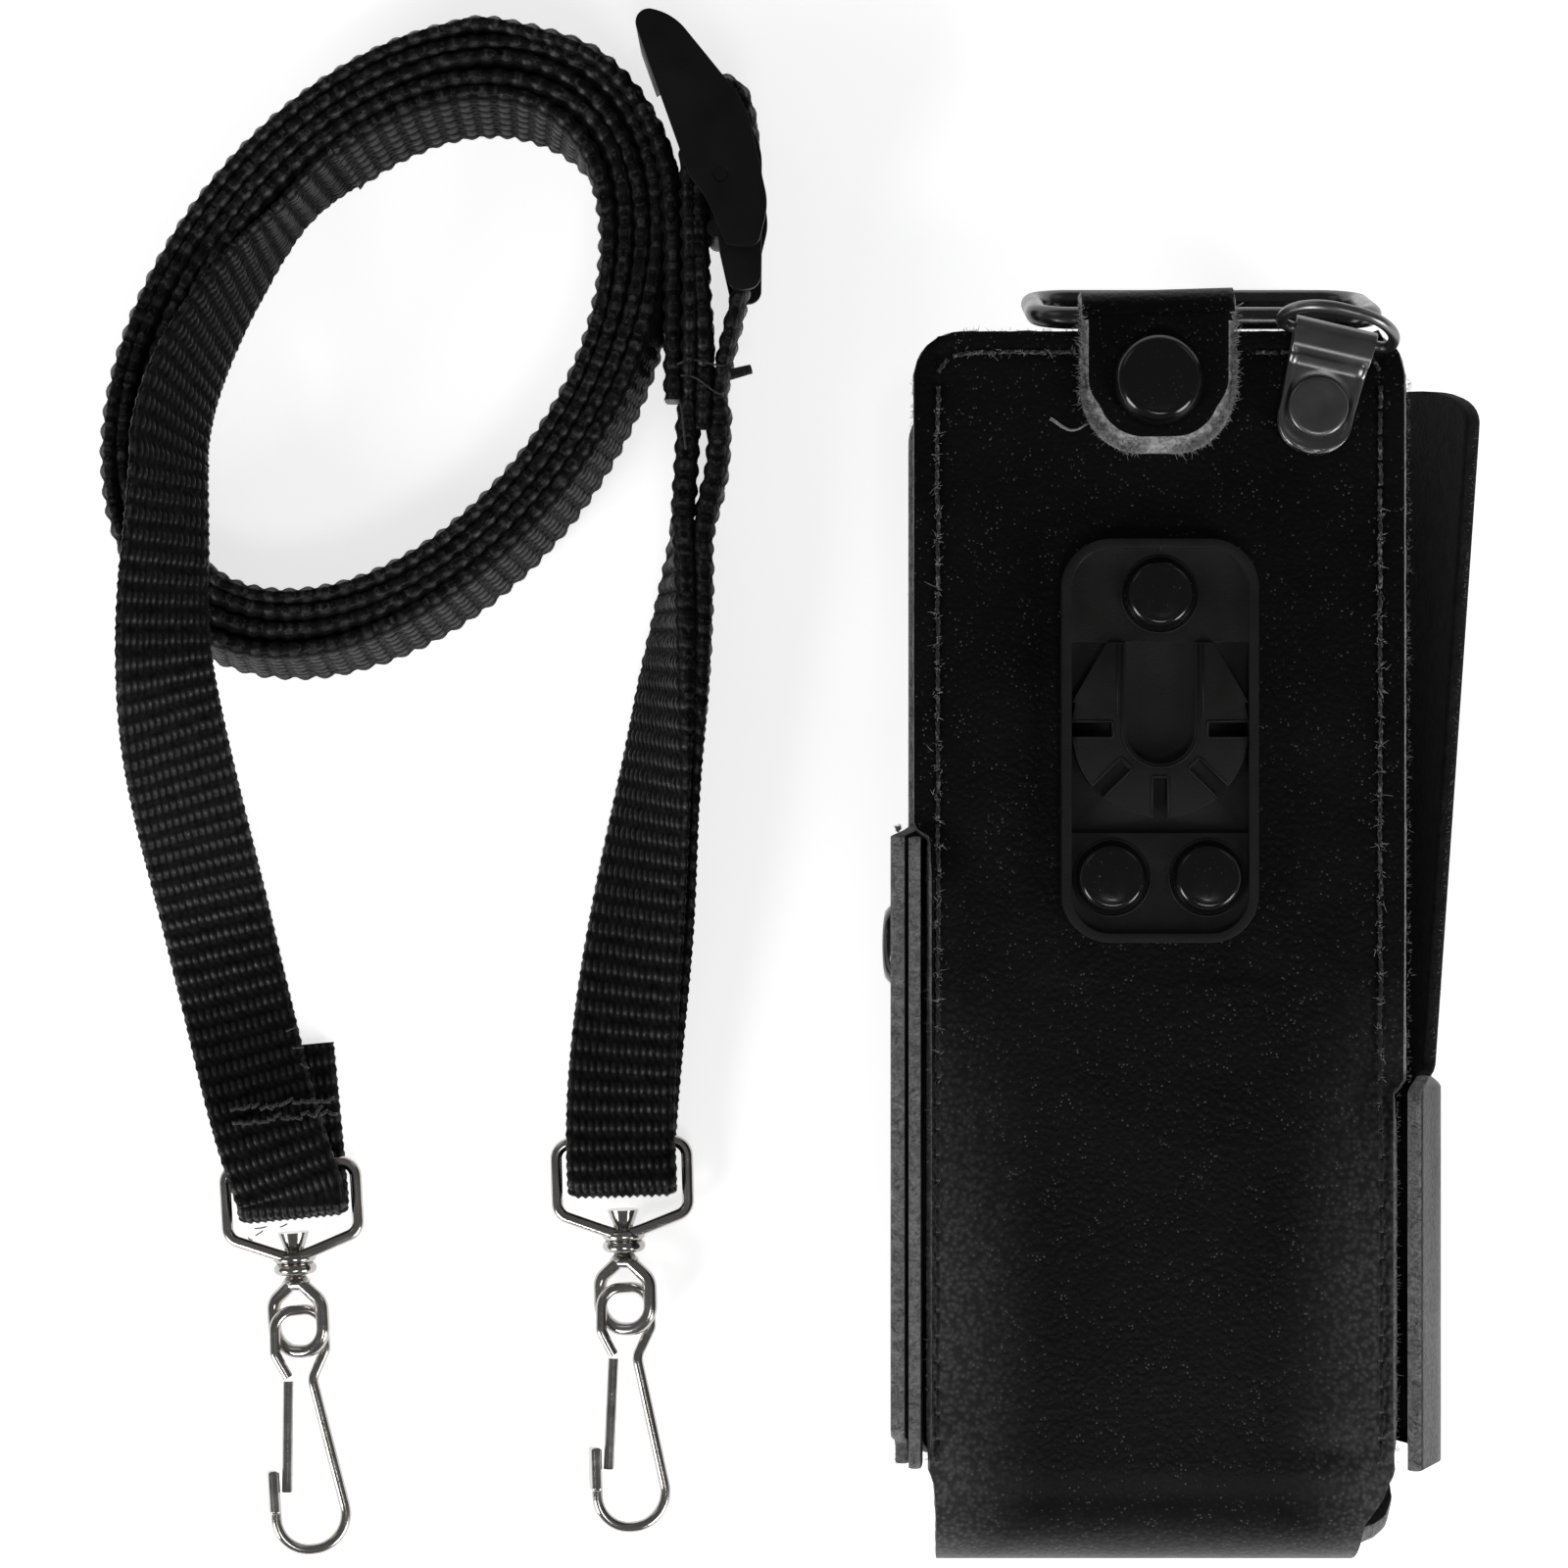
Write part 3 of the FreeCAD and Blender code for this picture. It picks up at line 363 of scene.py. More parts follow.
def web_finish():
    """Black nylon: each raised row and column of the weave shines more than the gaps."""
    f = Finish("web_nylon", Specular_IOR_Level=0.3, Sheen_Weight=0.02, Sheen_Roughness=0.4)
    uv = f.add("UVMap", uv_map="weave").outputs[0]
    yarn = f.noise(1.0, 2, 0.6, f.scaled(700, 7000, 1, (0, 0, 0.12), uv))
    fuzz = f.noise(900, 3)
    base = f.colour(f.remap(f.sum(yarn, fuzz), 0.7, 1.35), grey(0.003), grey(0.016))
    across = f.add("SeparateXYZ", {0: uv}).outputs[1]
    # Paler flecks along both selvages: painted highlights standing in for the glints on the edge's
    # weft loops.
    selvage = f.remap(f.sum(across, 0.0, "ABSOLUTE"), 0.0070, 0.0075)
    fleck = f.remap(f.noise(1.0, 3, 0.7, f.scaled(900, 2600, 1, (0, 0, 0.5), uv)), 0.5, 0.68)
    base = f.colour(f.sum(selvage, fleck, "MULTIPLY"), base, grey(0.06))
    along = f.add("SeparateXYZ", {0: uv}).outputs[0]
    row = f.sum(f.sum(along, 2 * math.pi / (ROW * MM), "MULTIPLY"), 0.0, "COSINE")
    column = f.sum(f.sum(across, 2 * math.pi / (FLOAT * MM), "MULTIPLY"), 0.0, "COSINE")
    shine = f.sum(f.remap(row, -0.3, 0.9, 0.03, 0.42), f.remap(column, -0.7, 0.5, 0.15, 1.0),
                  "MULTIPLY")
    f.feed(f.bsdf.inputs["Specular IOR Level"], shine)
    rough = f.remap(yarn, 0.3, 0.7, 0.26, 0.45)
    return f.finish(base, rough, f.bump(yarn, 0.00012, 0.8))


def plastic(name, level):
    f = Finish(name, Specular_IOR_Level=0.19)
    speck = f.noise(3800, 2, 0.6)
    cloud = f.noise(160, 3)
    base = f.colour(f.remap(cloud, 0.3, 0.7), grey(level * 0.8, 0.02), grey(level * 1.15, 0.02))
    base = f.colour(f.remap(speck, 0.69, 0.78), base, grey(level * 3.5))
    rough = f.remap(cloud, 0.3, 0.7, 0.42, 0.6)
    return f.finish(base, rough, f.bump(speck, 0.00006, 0.7))


def enamel():
    f = Finish("black_enamel_gloss", Specular_IOR_Level=0.25, Coat_Weight=0.35, Coat_Roughness=0.05)
    smear = f.noise(500, 3)
    dust = f.noise(2600, 2)
    base = f.colour(f.remap(dust, 0.68, 0.76), grey(0.004), grey(0.05))
    return f.finish(base, f.remap(smear, 0.3, 0.7, 0.12, 0.26), f.bump(smear, 0.00004, 0.6))


def metal(name, level, low, high, warm=0.0, grain=0.00002):
    f = Finish(name, Metallic=1.0)
    brushed = f.noise(1.0, 3, 0.6, f.scaled(400, 5200, 400))
    blotch = f.noise(260, 4, 0.6)
    base = f.colour(f.remap(blotch, 0.35, 0.7), grey(level * 0.82, warm), grey(level, warm * 0.6))
    rough = f.remap(f.sum(brushed, blotch, "MULTIPLY"), 0.12, 0.42, low, high)
    return f.finish(base, rough, f.bump(f.sum(brushed, blotch), grain, 0.6))


def thread_finish():
    f = Finish("seam_thread", Specular_IOR_Level=0.3, Sheen_Weight=0.2)
    place = f.add("SeparateXYZ", {0: f.point}).outputs[1]
    worn = f.remap(place, -0.012, 0.02)
    fleck = f.remap(f.noise(1100, 4, 0.7), 0.52, 0.66)
    pale = f.colour(fleck, grey(0.02), grey(0.2))
    base = f.colour(worn, grey(0.008), pale)
    return f.finish(base, 0.85, f.bump(f.noise(1500, 3), 0.0002, 0.9))


def floor_finish():
    f = Finish("studio_floor", Specular_IOR_Level=0.2, Emission_Strength=0.72,
               Emission_Color=grey(1))
    return f.finish(grey(0.9), 0.7, f.bump(f.noise(120, 2), 0.00005, 0.2))


GRAIN, FLESH = leather_face(), suede()
EDGE, PALE_EDGE = raw_edge("cut_edge", 0.05, 0.34), raw_edge("cut_edge_pale", 0.1, 0.62)
WEB, PLATE, LEVER = web_finish(), plastic("dock_plastic", 0.010), plastic("lever_plastic", 0.006)
ENAMEL, GUN, NICKEL = enamel(), metal("gunmetal_satin", 0.1,
                                      0.2, 0.36), metal("nickel_bright", 0.52, 0.1, 0.24, 0.05)
STEEL, THREAD = metal("plain_steel", 0.5, 0.25, 0.45), thread_finish()
FLECK = raw_edge("thread_fleck", 0.05, 0.5)
SATIN = metal("satin_plating", 0.2, 0.3, 0.36, grain=0.000004)
SHEET, PALE_SHEET = [GRAIN, FLESH, EDGE], [GRAIN, FLESH, PALE_EDGE]
WEB_YARN = raw_edge("strap_yarn", 0.006, 0.045)


# ---------------------------------------------------------------- leather case

LEFT_EDGE, RIGHT_EDGE, EDGE_LIFT, BACK_FLAT_X = -31.6, 31.8, 2.2, 25.0
LEFT_WALL_TOP_Y, RIGHT_WALL_TOP_Y, WALL_BOTTOM_Y = 16.4, -18.2, -70.5
LEFT_SEAM_X, RIGHT_SEAM_X, TOP_SEAM_Y = -30.4, 29.8, 81.8
BACK_TOP, BACK_HALF_W, CORNER_R, BACK_FOLD_Y = 84.7, 33.6, 6.5, -70.0
TONGUE_X0, TONGUE_X1, TONGUE_FRONT_Y, TONGUE_END_Y = -29.4, 31.0, -84.6, -50.0
FLAT_RUN = BACK_TOP - BACK_FOLD_Y
LINING_HALF_W, LINING_TOP, WING_TOP, INNER_CORNER_R = 33.3, 84.3, 78.8, 6.3
STITCH_PITCH, STITCH_LEN = 3.5, 2.5


def edge_lift(x, y):
    """How far the back panel's edge turns up beside the wall it is sewn to."""
    edge = np.where(x < 0, LEFT_EDGE, RIGHT_EDGE)
    top = np.where(x < 0, LEFT_WALL_TOP_Y, RIGHT_WALL_TOP_Y)
    across = ease((np.abs(x) - BACK_FLAT_X) / (np.abs(edge) - BACK_FLAT_X + 2))
    return EDGE_LIFT * across * ease((top + 2.0 - y) / 9.0)


def seam_pull(x, y):
    """The groove that the thread pulls into the leather, deepest at each hole."""
    hole = 0.6 + 0.4 * np.cos(2 * math.pi * (y - BACK_FOLD_Y - 1.0 + 0.5) / STITCH_PITCH)
    side = np.minimum(np.abs(x - LEFT_SEAM_X), np.abs(x - RIGHT_SEAM_X))
    groove = 0.32 * np.exp(-(side / 0.55) ** 2) * hole * ease((y + 72) / 3)
    mouth = 0.22 * np.exp(-((y - TOP_SEAM_Y) / 0.5) ** 2) * (np.abs(x) < 31)
    return np.maximum(groove, mouth)


def panel_path():
    """The back panel's mid-line from the mouth, round the bottom fold and in under itself: y, z."""
    r1, r2 = 13.0, 10.4
    y_out, z_top, z_low = TONGUE_FRONT_Y + LEATHER / 2, DEPTH - LEATHER / 2, LEATHER * 1.5 + 0.1
    line = [(y, z_top) for y in (BACK_TOP, 60, 30, 0, -30, -60)] + [(BACK_FOLD_Y + 2, z_top)]
    line += [(y_out + r1 + r1 * math.cos(a), z_top - r1 + r1 * math.sin(a))
             for a in np.radians(np.linspace(90, 180, 8))]
    line += [(y_out + r2 + r2 * math.cos(a), z_low + r2 + r2 * math.sin(a))
             for a in np.radians(np.linspace(180, 270, 8))]
    return line + [((TONGUE_END_Y + y_out + r2) / 2, z_low), (TONGUE_END_Y, z_low)]


def back_panel():
    """The back, its turned-up edges, the bottom fold and the tongue that goes in under it."""
    line, run = resample([(0, y, z) for y, z in panel_path()], 1.0)
    top_rows = np.array([0, 0.12, 0.4])
    y_top = BACK_TOP - top_rows
    line = np.vstack([[(0, y, DEPTH - 1) for y in y_top], line[1:]])
    run = np.concatenate([top_rows, run[1:]])
    y, z = line[:, 1], line[:, 2]
    corner = np.clip(CORNER_R - run, 0, CORNER_R)
    inset = CORNER_R - np.sqrt(CORNER_R ** 2 - corner ** 2)
    beyond = run - FLAT_RUN
    left = -BACK_HALF_W + inset + 2.0 * ease((LEFT_WALL_TOP_Y + 0.9 - y) / 1.8)
    right = BACK_HALF_W - inset - 1.8 * ease((RIGHT_WALL_TOP_Y + 0.9 - y) / 1.8)
    past = ease((beyond + 0.2) / 2.2)
    tuck = np.interp(beyond, [0, 6, 21, 33, 50, 60], [-31.0, -30.6, -30.1, -29.0, -27.6, TONGUE_X0])
    left = np.where(past > 0, left * (1 - past) + tuck * past, left)
    flare = np.interp(beyond, [0, 4, 8, 21, 27, 33, 38, 42, 50, 60, 68],
                      [31.8, 30.4, 28.0, 27.4, 28.0, 31.5, 35.0, 36.3, 36.0, 33.0, TONGUE_X1])
    right = np.where(past > 0, right * (1 - past) + flare * past, right)
    cols = np.concatenate([np.linspace(-33.6, -26.2, 22), np.linspace(-25.2, 25.2, 42),
                           np.linspace(26.2, 33.6, 22)])
    x = np.empty((len(y), len(cols)))
    for i in range(len(y)):
        k = (np.abs(cols) - 24) / 9.6
        edge = np.where(cols < 0, left[i], right[i])
        x[i] = np.where(np.abs(cols) > 24, np.sign(cols) * (24 + k * (np.abs(edge) - 24)), cols)
    yy, zz = np.repeat(y[:, None], len(cols), 1), np.repeat(z[:, None], len(cols), 1)
    tangent = unit(np.gradient(np.column_stack([y, z]), axis=0))
    ny, nz = tangent[:, 1], -tangent[:, 0]
    fold = run > FLAT_RUN
    flat = ~fold[:, None]
    lift = np.where(flat, edge_lift(x, yy), 0) * ease((yy + 71) / 7)
    sag = 0.35 * lump(np.dstack([x, yy, zz]), 38, 2.0) * ease((yy + 66) / 10 + fold[:, None])
    near_plate = (np.abs(x + 0.4) < 17) & (yy > -4) & (yy < 62)
    sag = np.where(near_plate | (yy > 58), -0.03, np.clip(sag, -0.45, 0.25))
    sag = sag - 0.5 * np.exp(-((yy + 67.5) / 2.2) ** 2) * flat * np.exp(-((x - 26) / 7) ** 2)
    seam = np.minimum(np.abs(x - LEFT_SEAM_X), np.abs(x - RIGHT_SEAM_X))
    padded = 0.7 * np.exp(-(seam / 3.6) ** 2) * flat * ease((4 - yy) / 30) * ease((yy + 69) / 6)
    off = sag + lift - seam_pull(x, yy) * flat - padded
    mid = np.dstack([x, yy + ny[:, None] * off, zz + nz[:, None] * off])
    normal = surface_normals(mid)
    if normal[50, 40, 2] < 0:
        normal = -normal
    inset = np.zeros_like(mid)
    inset[..., 0] = -0.5 * ease((mid[..., 0] - 32.0) / 1.4) * ease((mid[..., 1] + 19) / 2)
    sheet_piece("leather_back_panel", slab(mid, normal, LEATHER, 0.12, 0.22, inset), "case",
                SHEET, "back_panel")


def lining():
    """The second layer behind the upper half of the back panel."""
    cols, rows = np.linspace(-LINING_HALF_W, LINING_HALF_W, 46), np.linspace(17.3, LINING_TOP, 60)
    y, x = np.meshgrid(rows, cols, indexing="ij")
    corner = np.clip(INNER_CORNER_R - (LINING_TOP - y), 0, INNER_CORNER_R)
    pull = INNER_CORNER_R - np.sqrt(INNER_CORNER_R ** 2 - corner ** 2)
    x = x * (LINING_HALF_W - pull) / LINING_HALF_W
    z = 37.0 - 0.02 + 0.12 * np.minimum(lump(np.dstack([x, y, y * 0]), 22, 6.0), 0)
    mid = np.dstack([x, y, z])
    normal = np.zeros_like(mid)
    normal[..., 2] = 1
    sheet_piece("leather_back_lining", slab(mid, normal, LEATHER - 0.08, 0.1, 0.2), "case",
                [FLESH, FLESH, EDGE], "back_lining")


class Profile:
    """A smooth line through (x, z) points, read by the share of its length."""

    def __init__(self, points):
        line, run = resample([(x, 0, z) for x, z in points], 0.25)
        self.xz, self.share = line[:, [0, 2]], run / run[-1]
        t = unit(np.gradient(self.xz, axis=0))
        self.out = np.column_stack([t[:, 1], -t[:, 0]])

    def at(self, q):
        pos = np.column_stack([np.interp(q, self.share, self.xz[:, k]) for k in (0, 1)])
        out = np.column_stack([np.interp(q, self.share, self.out[:, k]) for k in (0, 1)])
        return pos, out / np.linalg.norm(out, axis=1, keepdims=True)


def front_wrap():
    """The front face, both side walls and the open upper wing: one piece of leather."""
    left = Profile([(-28, 1), (-30.6, 1.0), (-32.0, 1.7), (-32.5, 3.4), (-33.0, 10), (-33.7, 19),
                    (-34.7, 31), (-35.9, DEPTH + 1.5)])
    wall = Profile([(29, 1), (31.3, 1.05), (33.4, 2.3), (36.9, 7.0), (39.0, 13), (39.6, 20),
                    (38.7, 30), (36.0, 37), (34.3, DEPTH + 1.2)])
    steps = [-74, -73.9, -73.7, -73.3, -72.6, -71.8, -71.2, -70.9, -70.6, -70.4, -70.1, -69.6]
    steps += list(np.arange(-69, -19.4, 1.1))
    steps += [-19.0, -18.7, -18.4, -18.2, -17.9, -17.5, -17.0, -16.4, -15.6]
    steps += list(np.arange(-14.8, 15.2, 1.1)) + [15.6, 16.0, 16.2, 16.4, 16.6, 16.9, 17.4]
    steps += list(np.arange(18.4, 72, 1.1))
    steps += list(72.6 + 6.2 * np.sin(np.linspace(0.05, 1, 12) * math.pi / 2)) + [79.0]
    q_wall, q_flat = np.linspace(1, 0, 34), np.linspace(-27, 28, 40)
    flat = np.column_stack([q_flat, np.full(len(q_flat), 1.0)])
    down = np.column_stack([np.zeros(len(q_flat)), np.full(len(q_flat), -1.0)])
    foot = 0.11  # the share of each wall's profile that stays below and above the walls
    mid, out = [], []
    for y in steps:
        has_left = ease((y - WALL_BOTTOM_Y + 0.5) / 0.9) * ease((LEFT_WALL_TOP_Y + 0.5 - y) / 0.9)
        slant = np.clip((y + 74.5) / 9.0, 0.82, 1.0)
        pos, nrm = left.at((foot + (1 - foot) * has_left * slant) * q_wall)
        t = ease((y + 19.0) / 3.2)
        x_top = 37.6 + (44.4 - 37.6) * (y + 18.7) / 97.5
        corner = max(INNER_CORNER_R - max(WING_TOP - y, 0), 0)
        rise = 1 - (INNER_CORNER_R - math.sqrt(max(INNER_CORNER_R ** 2 - corner ** 2, 0))) / 10.8
        wing = Profile([(29, 1), (31.2, 1.02), (33.6, 1.6), (33.6 + (x_top - 33.6) * 0.3, 10.6),
                        (33.6 + (x_top - 33.6) * 0.66 + 0.4, 21.9), (x_top - 0.3, 33.0)])
        has_right = ease((y - WALL_BOTTOM_Y + 0.5) / 0.9)
        share = (foot + (1 - foot) * has_right) * q_wall[::-1]
        a, na = wall.at(share)
        b, nb = wing.at(share * (rise if y > 70 else 1.0))
        right, nright = a * (1 - t) + b * t, na * (1 - t) + nb * t
        sag = 0.4 * math.sin(y / 17.0) * np.sin(np.clip((right[:, 1] - 4) / 26, 0, 1) * math.pi)
        right = right + nright * (sag * t)[:, None]
        xz = np.vstack([pos, flat, right])
        nn = np.vstack([-nrm if nrm[0, 0] > 0 else nrm, down, nright])
        radius = CORNER_R if y > 70 else 3.0
        corner = max(radius - (79 - y if y > 70 else y + 74), 0)
        pull = radius - math.sqrt(max(radius ** 2 - min(corner, radius) ** 2, 0))
        xz[:, 0] += pull * np.clip(-(xz[:, 0]) / 32, 0, 1)
        if y < -70:
            xz[:, 0] -= pull * np.clip(xz[:, 0] / 32, 0, 1)
        mid.append(np.column_stack([xz[:, 0], np.full(len(xz), y), xz[:, 1]]))
        out.append(np.column_stack([nn[:, 0], np.zeros(len(nn)), nn[:, 1]]))
    verts, faces, index = slab(np.array(mid), np.array(out), LEATHER - 0.1, 0.12, 0.2)
    x, y, _ = face_centres(verts, faces).T
    index = np.where((index == 2) & (x > 30) & (y > -17), 1, index)
    sheet_piece("leather_front_wrap", (verts, faces, index), "case",
                SHEET, "front_wrap")


def welt():
    """The strip of leather between the left wall and the back panel."""
    line = Profile([(-33.1, 36.4), (-33.3, 39.4), (-33.6, DEPTH + 1.8)])
    ys = np.linspace(WALL_BOTTOM_Y + 0.8, LEFT_WALL_TOP_Y - 0.6, 110)
    pos, out = line.at(np.linspace(0, 1, 8))
    wave = [0.25 * noise.noise(Vector((y / 9, 0, 0))) for y in ys]
    mid = np.array([np.column_stack([pos[:, 0], np.full(8, y), pos[:, 1] + w])
                    for y, w in zip(ys, wave)])
    normal = np.array([np.column_stack([out[:, 0], np.zeros(8), out[:, 1]])] * len(ys))
    sheet_piece("leather_left_welt", slab(mid, normal, 1.6, 0.1, 0.22),
                "case", SHEET,
                "left_welt")


def stitch(a, b, lift, thickness=0.34):
    """One stitch of two-ply thread from hole to hole."""
    parts = []
    along = b - a
    side = unit(np.cross(along, UP))
    t = np.linspace(0, 1, 13)
    line = a + np.outer(t, along)
    hump, dip = np.clip(np.sin(t * math.pi), 0, 1) ** 0.45, (np.abs(t - 0.5) * 2) ** 8
    line[:, 2] += lift * hump - 0.45 * dip
    for k in (0, math.pi):
        turn = t * 7.0 + k
        path = line + np.outer(np.cos(turn), side) * 0.15 + np.outer(np.sin(turn), UP) * 0.15
        parts.append(tube(path, thickness / 2 * 1.05, 6))
    return merged(parts)


def seam_threads():
    """The three rows of stitches, and the torn fibres at their holes."""
    rows = {"left": [], "right": [], "mouth": []}
    y = BACK_FOLD_Y + 1.0
    while y < TOP_SEAM_Y - 5:
        for side, x in (("left", LEFT_SEAM_X), ("right", RIGHT_SEAM_X)):
            jig = rng.normal(0, 0.07, 3)
            a, b = v3(x + jig[0], y - 0.2, 0), v3(x + jig[1], y + STITCH_LEN + 0.25, 0)
            for p in (a, b):
                lift = float(edge_lift(p[0], p[1])) * ease((p[1] + 71) / 7)
                p[2] = DEPTH + lift + 0.02
            rows[side].append(stitch(a, b, 0.26 + 0.1 * abs(jig[2])))
        y += STITCH_PITCH
    x = LEFT_SEAM_X + 5.0
    while x < RIGHT_SEAM_X - 4:
        if not abs(x + STITCH_LEN / 2 + 0.5) < 10.4 + STITCH_LEN:
            jig = rng.normal(0, 0.06, 2)
            a = v3(x - 0.2, TOP_SEAM_Y + jig[0], DEPTH)
            b = v3(x + STITCH_LEN + 0.25, TOP_SEAM_Y + jig[1], DEPTH)
            rows["mouth"].append(stitch(a, b, 0.3))
        x += STITCH_PITCH
    for a, b in (((-30.3, 79.2), (-29.0, 80.9)), ((-28.3, 81.3), (-25.9, 81.8)),
                 ((29.7, 79.4), (28.6, 81.0))):
        rows["mouth"].append(stitch(v3(*a, DEPTH), v3(*b, DEPTH), 0.28))
    roots, outs = [], []
    for x0, low in ((LEFT_SEAM_X, -12), (RIGHT_SEAM_X, -22)):
        for y in np.arange(BACK_FOLD_Y + 1.0, TOP_SEAM_Y - (5 if x0 < 0 else 21), STITCH_PITCH):
            for _ in range(int(11 * ease((y - low + 12) / 24))):
                root = v3(x0, y - 0.5, DEPTH + 0.15 + edge_lift(x0, y))
                roots.append(root + rng.normal(0, 0.25, 3) * v3(1, 1.6, 0.3))
                outs.append(v3(0, 0, 0.5))
    for x in np.arange(LEFT_SEAM_X + 5.0, RIGHT_SEAM_X - 4, STITCH_PITCH):
        for _ in range(9 if x < -11 else 0):
            roots.append(v3(x - 0.5, TOP_SEAM_Y, DEPTH + 0.15)
                         + rng.normal(0, 0.25, 3) * v3(1.6, 1, 0.3))
            outs.append(v3(0, 0, 0.5))
    fibres("seam_flecks", roots, outs, 0.85, 0.075, FLECK, "case", 1.2)
    for side, parts in rows.items():
        verts, faces = merged(parts)
        mesh_piece(side + "_seam_stitches", verts, faces, "case", [THREAD],
                   replaces=[side + "_seam_thread"])


def fibres(name, roots, outward, length, radius, material, body, curl=0.7):
    """Short frayed fibres standing from a cut edge."""
    parts = []
    t, taper = np.linspace(0, 1, 4), np.array([1, 0.9, 0.7, 0.35])
    for root, out in zip(roots, outward):
        d = unit(out + rng.normal(0, 0.75, 3))
        size = length * rng.uniform(0.35, 1.0)
        bend = rng.normal(0, curl, 3)
        path = root + np.outer(t, d) * size + np.outer(t * t, bend) * size * 0.5
        parts.append(tube(path, radius * taper, 3))
    verts, faces = merged(parts)
    return mesh_piece(name, verts, faces, body, [material])


def edge_fibres():
    """Fibres along the cut edges of the back panel, the tops of the walls and the wing."""
    roots, outs = [], []
    for a, b, out, count in (((-33.7, 17, 39), (-33.7, 78, 39), (-1, 0, 0.3), 260),
                             ((33.7, -18, 39), (33.7, 78, 39), (1, 0, 0.3), 420),
                             ((-27, 84.8, 39), (27, 84.8, 39), (0, 1, 0.3), 120),
                             ((-35.9, -69, 41.7), (-35.9, 16, 41.7), (-0.3, 0, 1), 420),
                             ((-33.6, -69, 41.9), (-33.6, 16, 41.9), (0, 0, 1), 320),
                             ((-31.7, -69, 41.0), (-31.7, 16, 41.0), (-0.5, 0, 1), 260),
                             ((34.3, -70, 41.4), (34.3, -18, 41.4), (0.2, 0, 1), 380),
                             ((31.9, -69, 41.0), (31.9, -18, 41.0), (0.6, 0, 1), 200),
                             ((37.8, -15, 33.1), (43.9, 72, 33.1), (0.5, 0, 1), 320),
                             ((-35.0, 16.8, 20), (-35.9, 16.8, 41), (-0.3, 1, 0.3), 120)):
        a, b = v3(*a), v3(*b)
        for t in rng.uniform(0, 1, count):
            roots.append(a + (b - a) * t + rng.normal(0, 0.4, 3) * v3(0.3, 0.3, 1))
            outs.append(v3(*out))
    fibres("edge_fibres", roots, outs, 0.6, 0.045, EDGE, "case")


back_panel()
lining()
front_wrap()
welt()
seam_threads()
edge_fibres()

# ---------------------------------------------------------------- webbing strap

COIL_X, COIL_Y, COIL_TURN, COIL_H = -106.5, 82.6, 53.0, 16.0
COIL_LEAN = (-1.3, 4.0)
COIL_INNER, COIL_OUTER, COIL_MARGIN = (38.7, 24.0), (51.3, 34.0), 0.9
FOLD_R, BAR_Z, FOLD_BELOW = 1.8, 3.4, 4.6
BAR_TO_RUN = FOLD_R + 0.7
# Each D-loop's bar, and how far its strap end turns from straight down the page, in degrees.
HOOKS = {"left": (v3(-123.0, -32.1, BAR_Z), 5.5), "right": (v3(-74.9, -28.8, BAR_Z), 1.5)}


def bezier(a, b, c, d, t):
    return a * (1 - t) ** 3 + b * (3 * t * (1 - t) ** 2) + c * (3 * t * t * (1 - t)) + d * t ** 3


def strap_end(side):
    """The D-loop's bar, the directions along and across the strap there, and the fold's centre."""
    bar, heading = HOOKS[side]
    down = v3(math.sin(math.radians(heading)), -math.cos(math.radians(heading)), 0)
    return bar, down, v3(-down[1], down[0], 0), bar + down * FOLD_BELOW


def round_bar(end, down, i):
    """A point of the fold round the bar: i from 1 to 7 goes from the top to the underside."""
    a = math.pi * i / 8
    centre = v3(end[0], end[1], BAR_Z)
    return centre + down * (BAR_TO_RUN * math.sin(a)) + UP * (BAR_TO_RUN * math.cos(a))


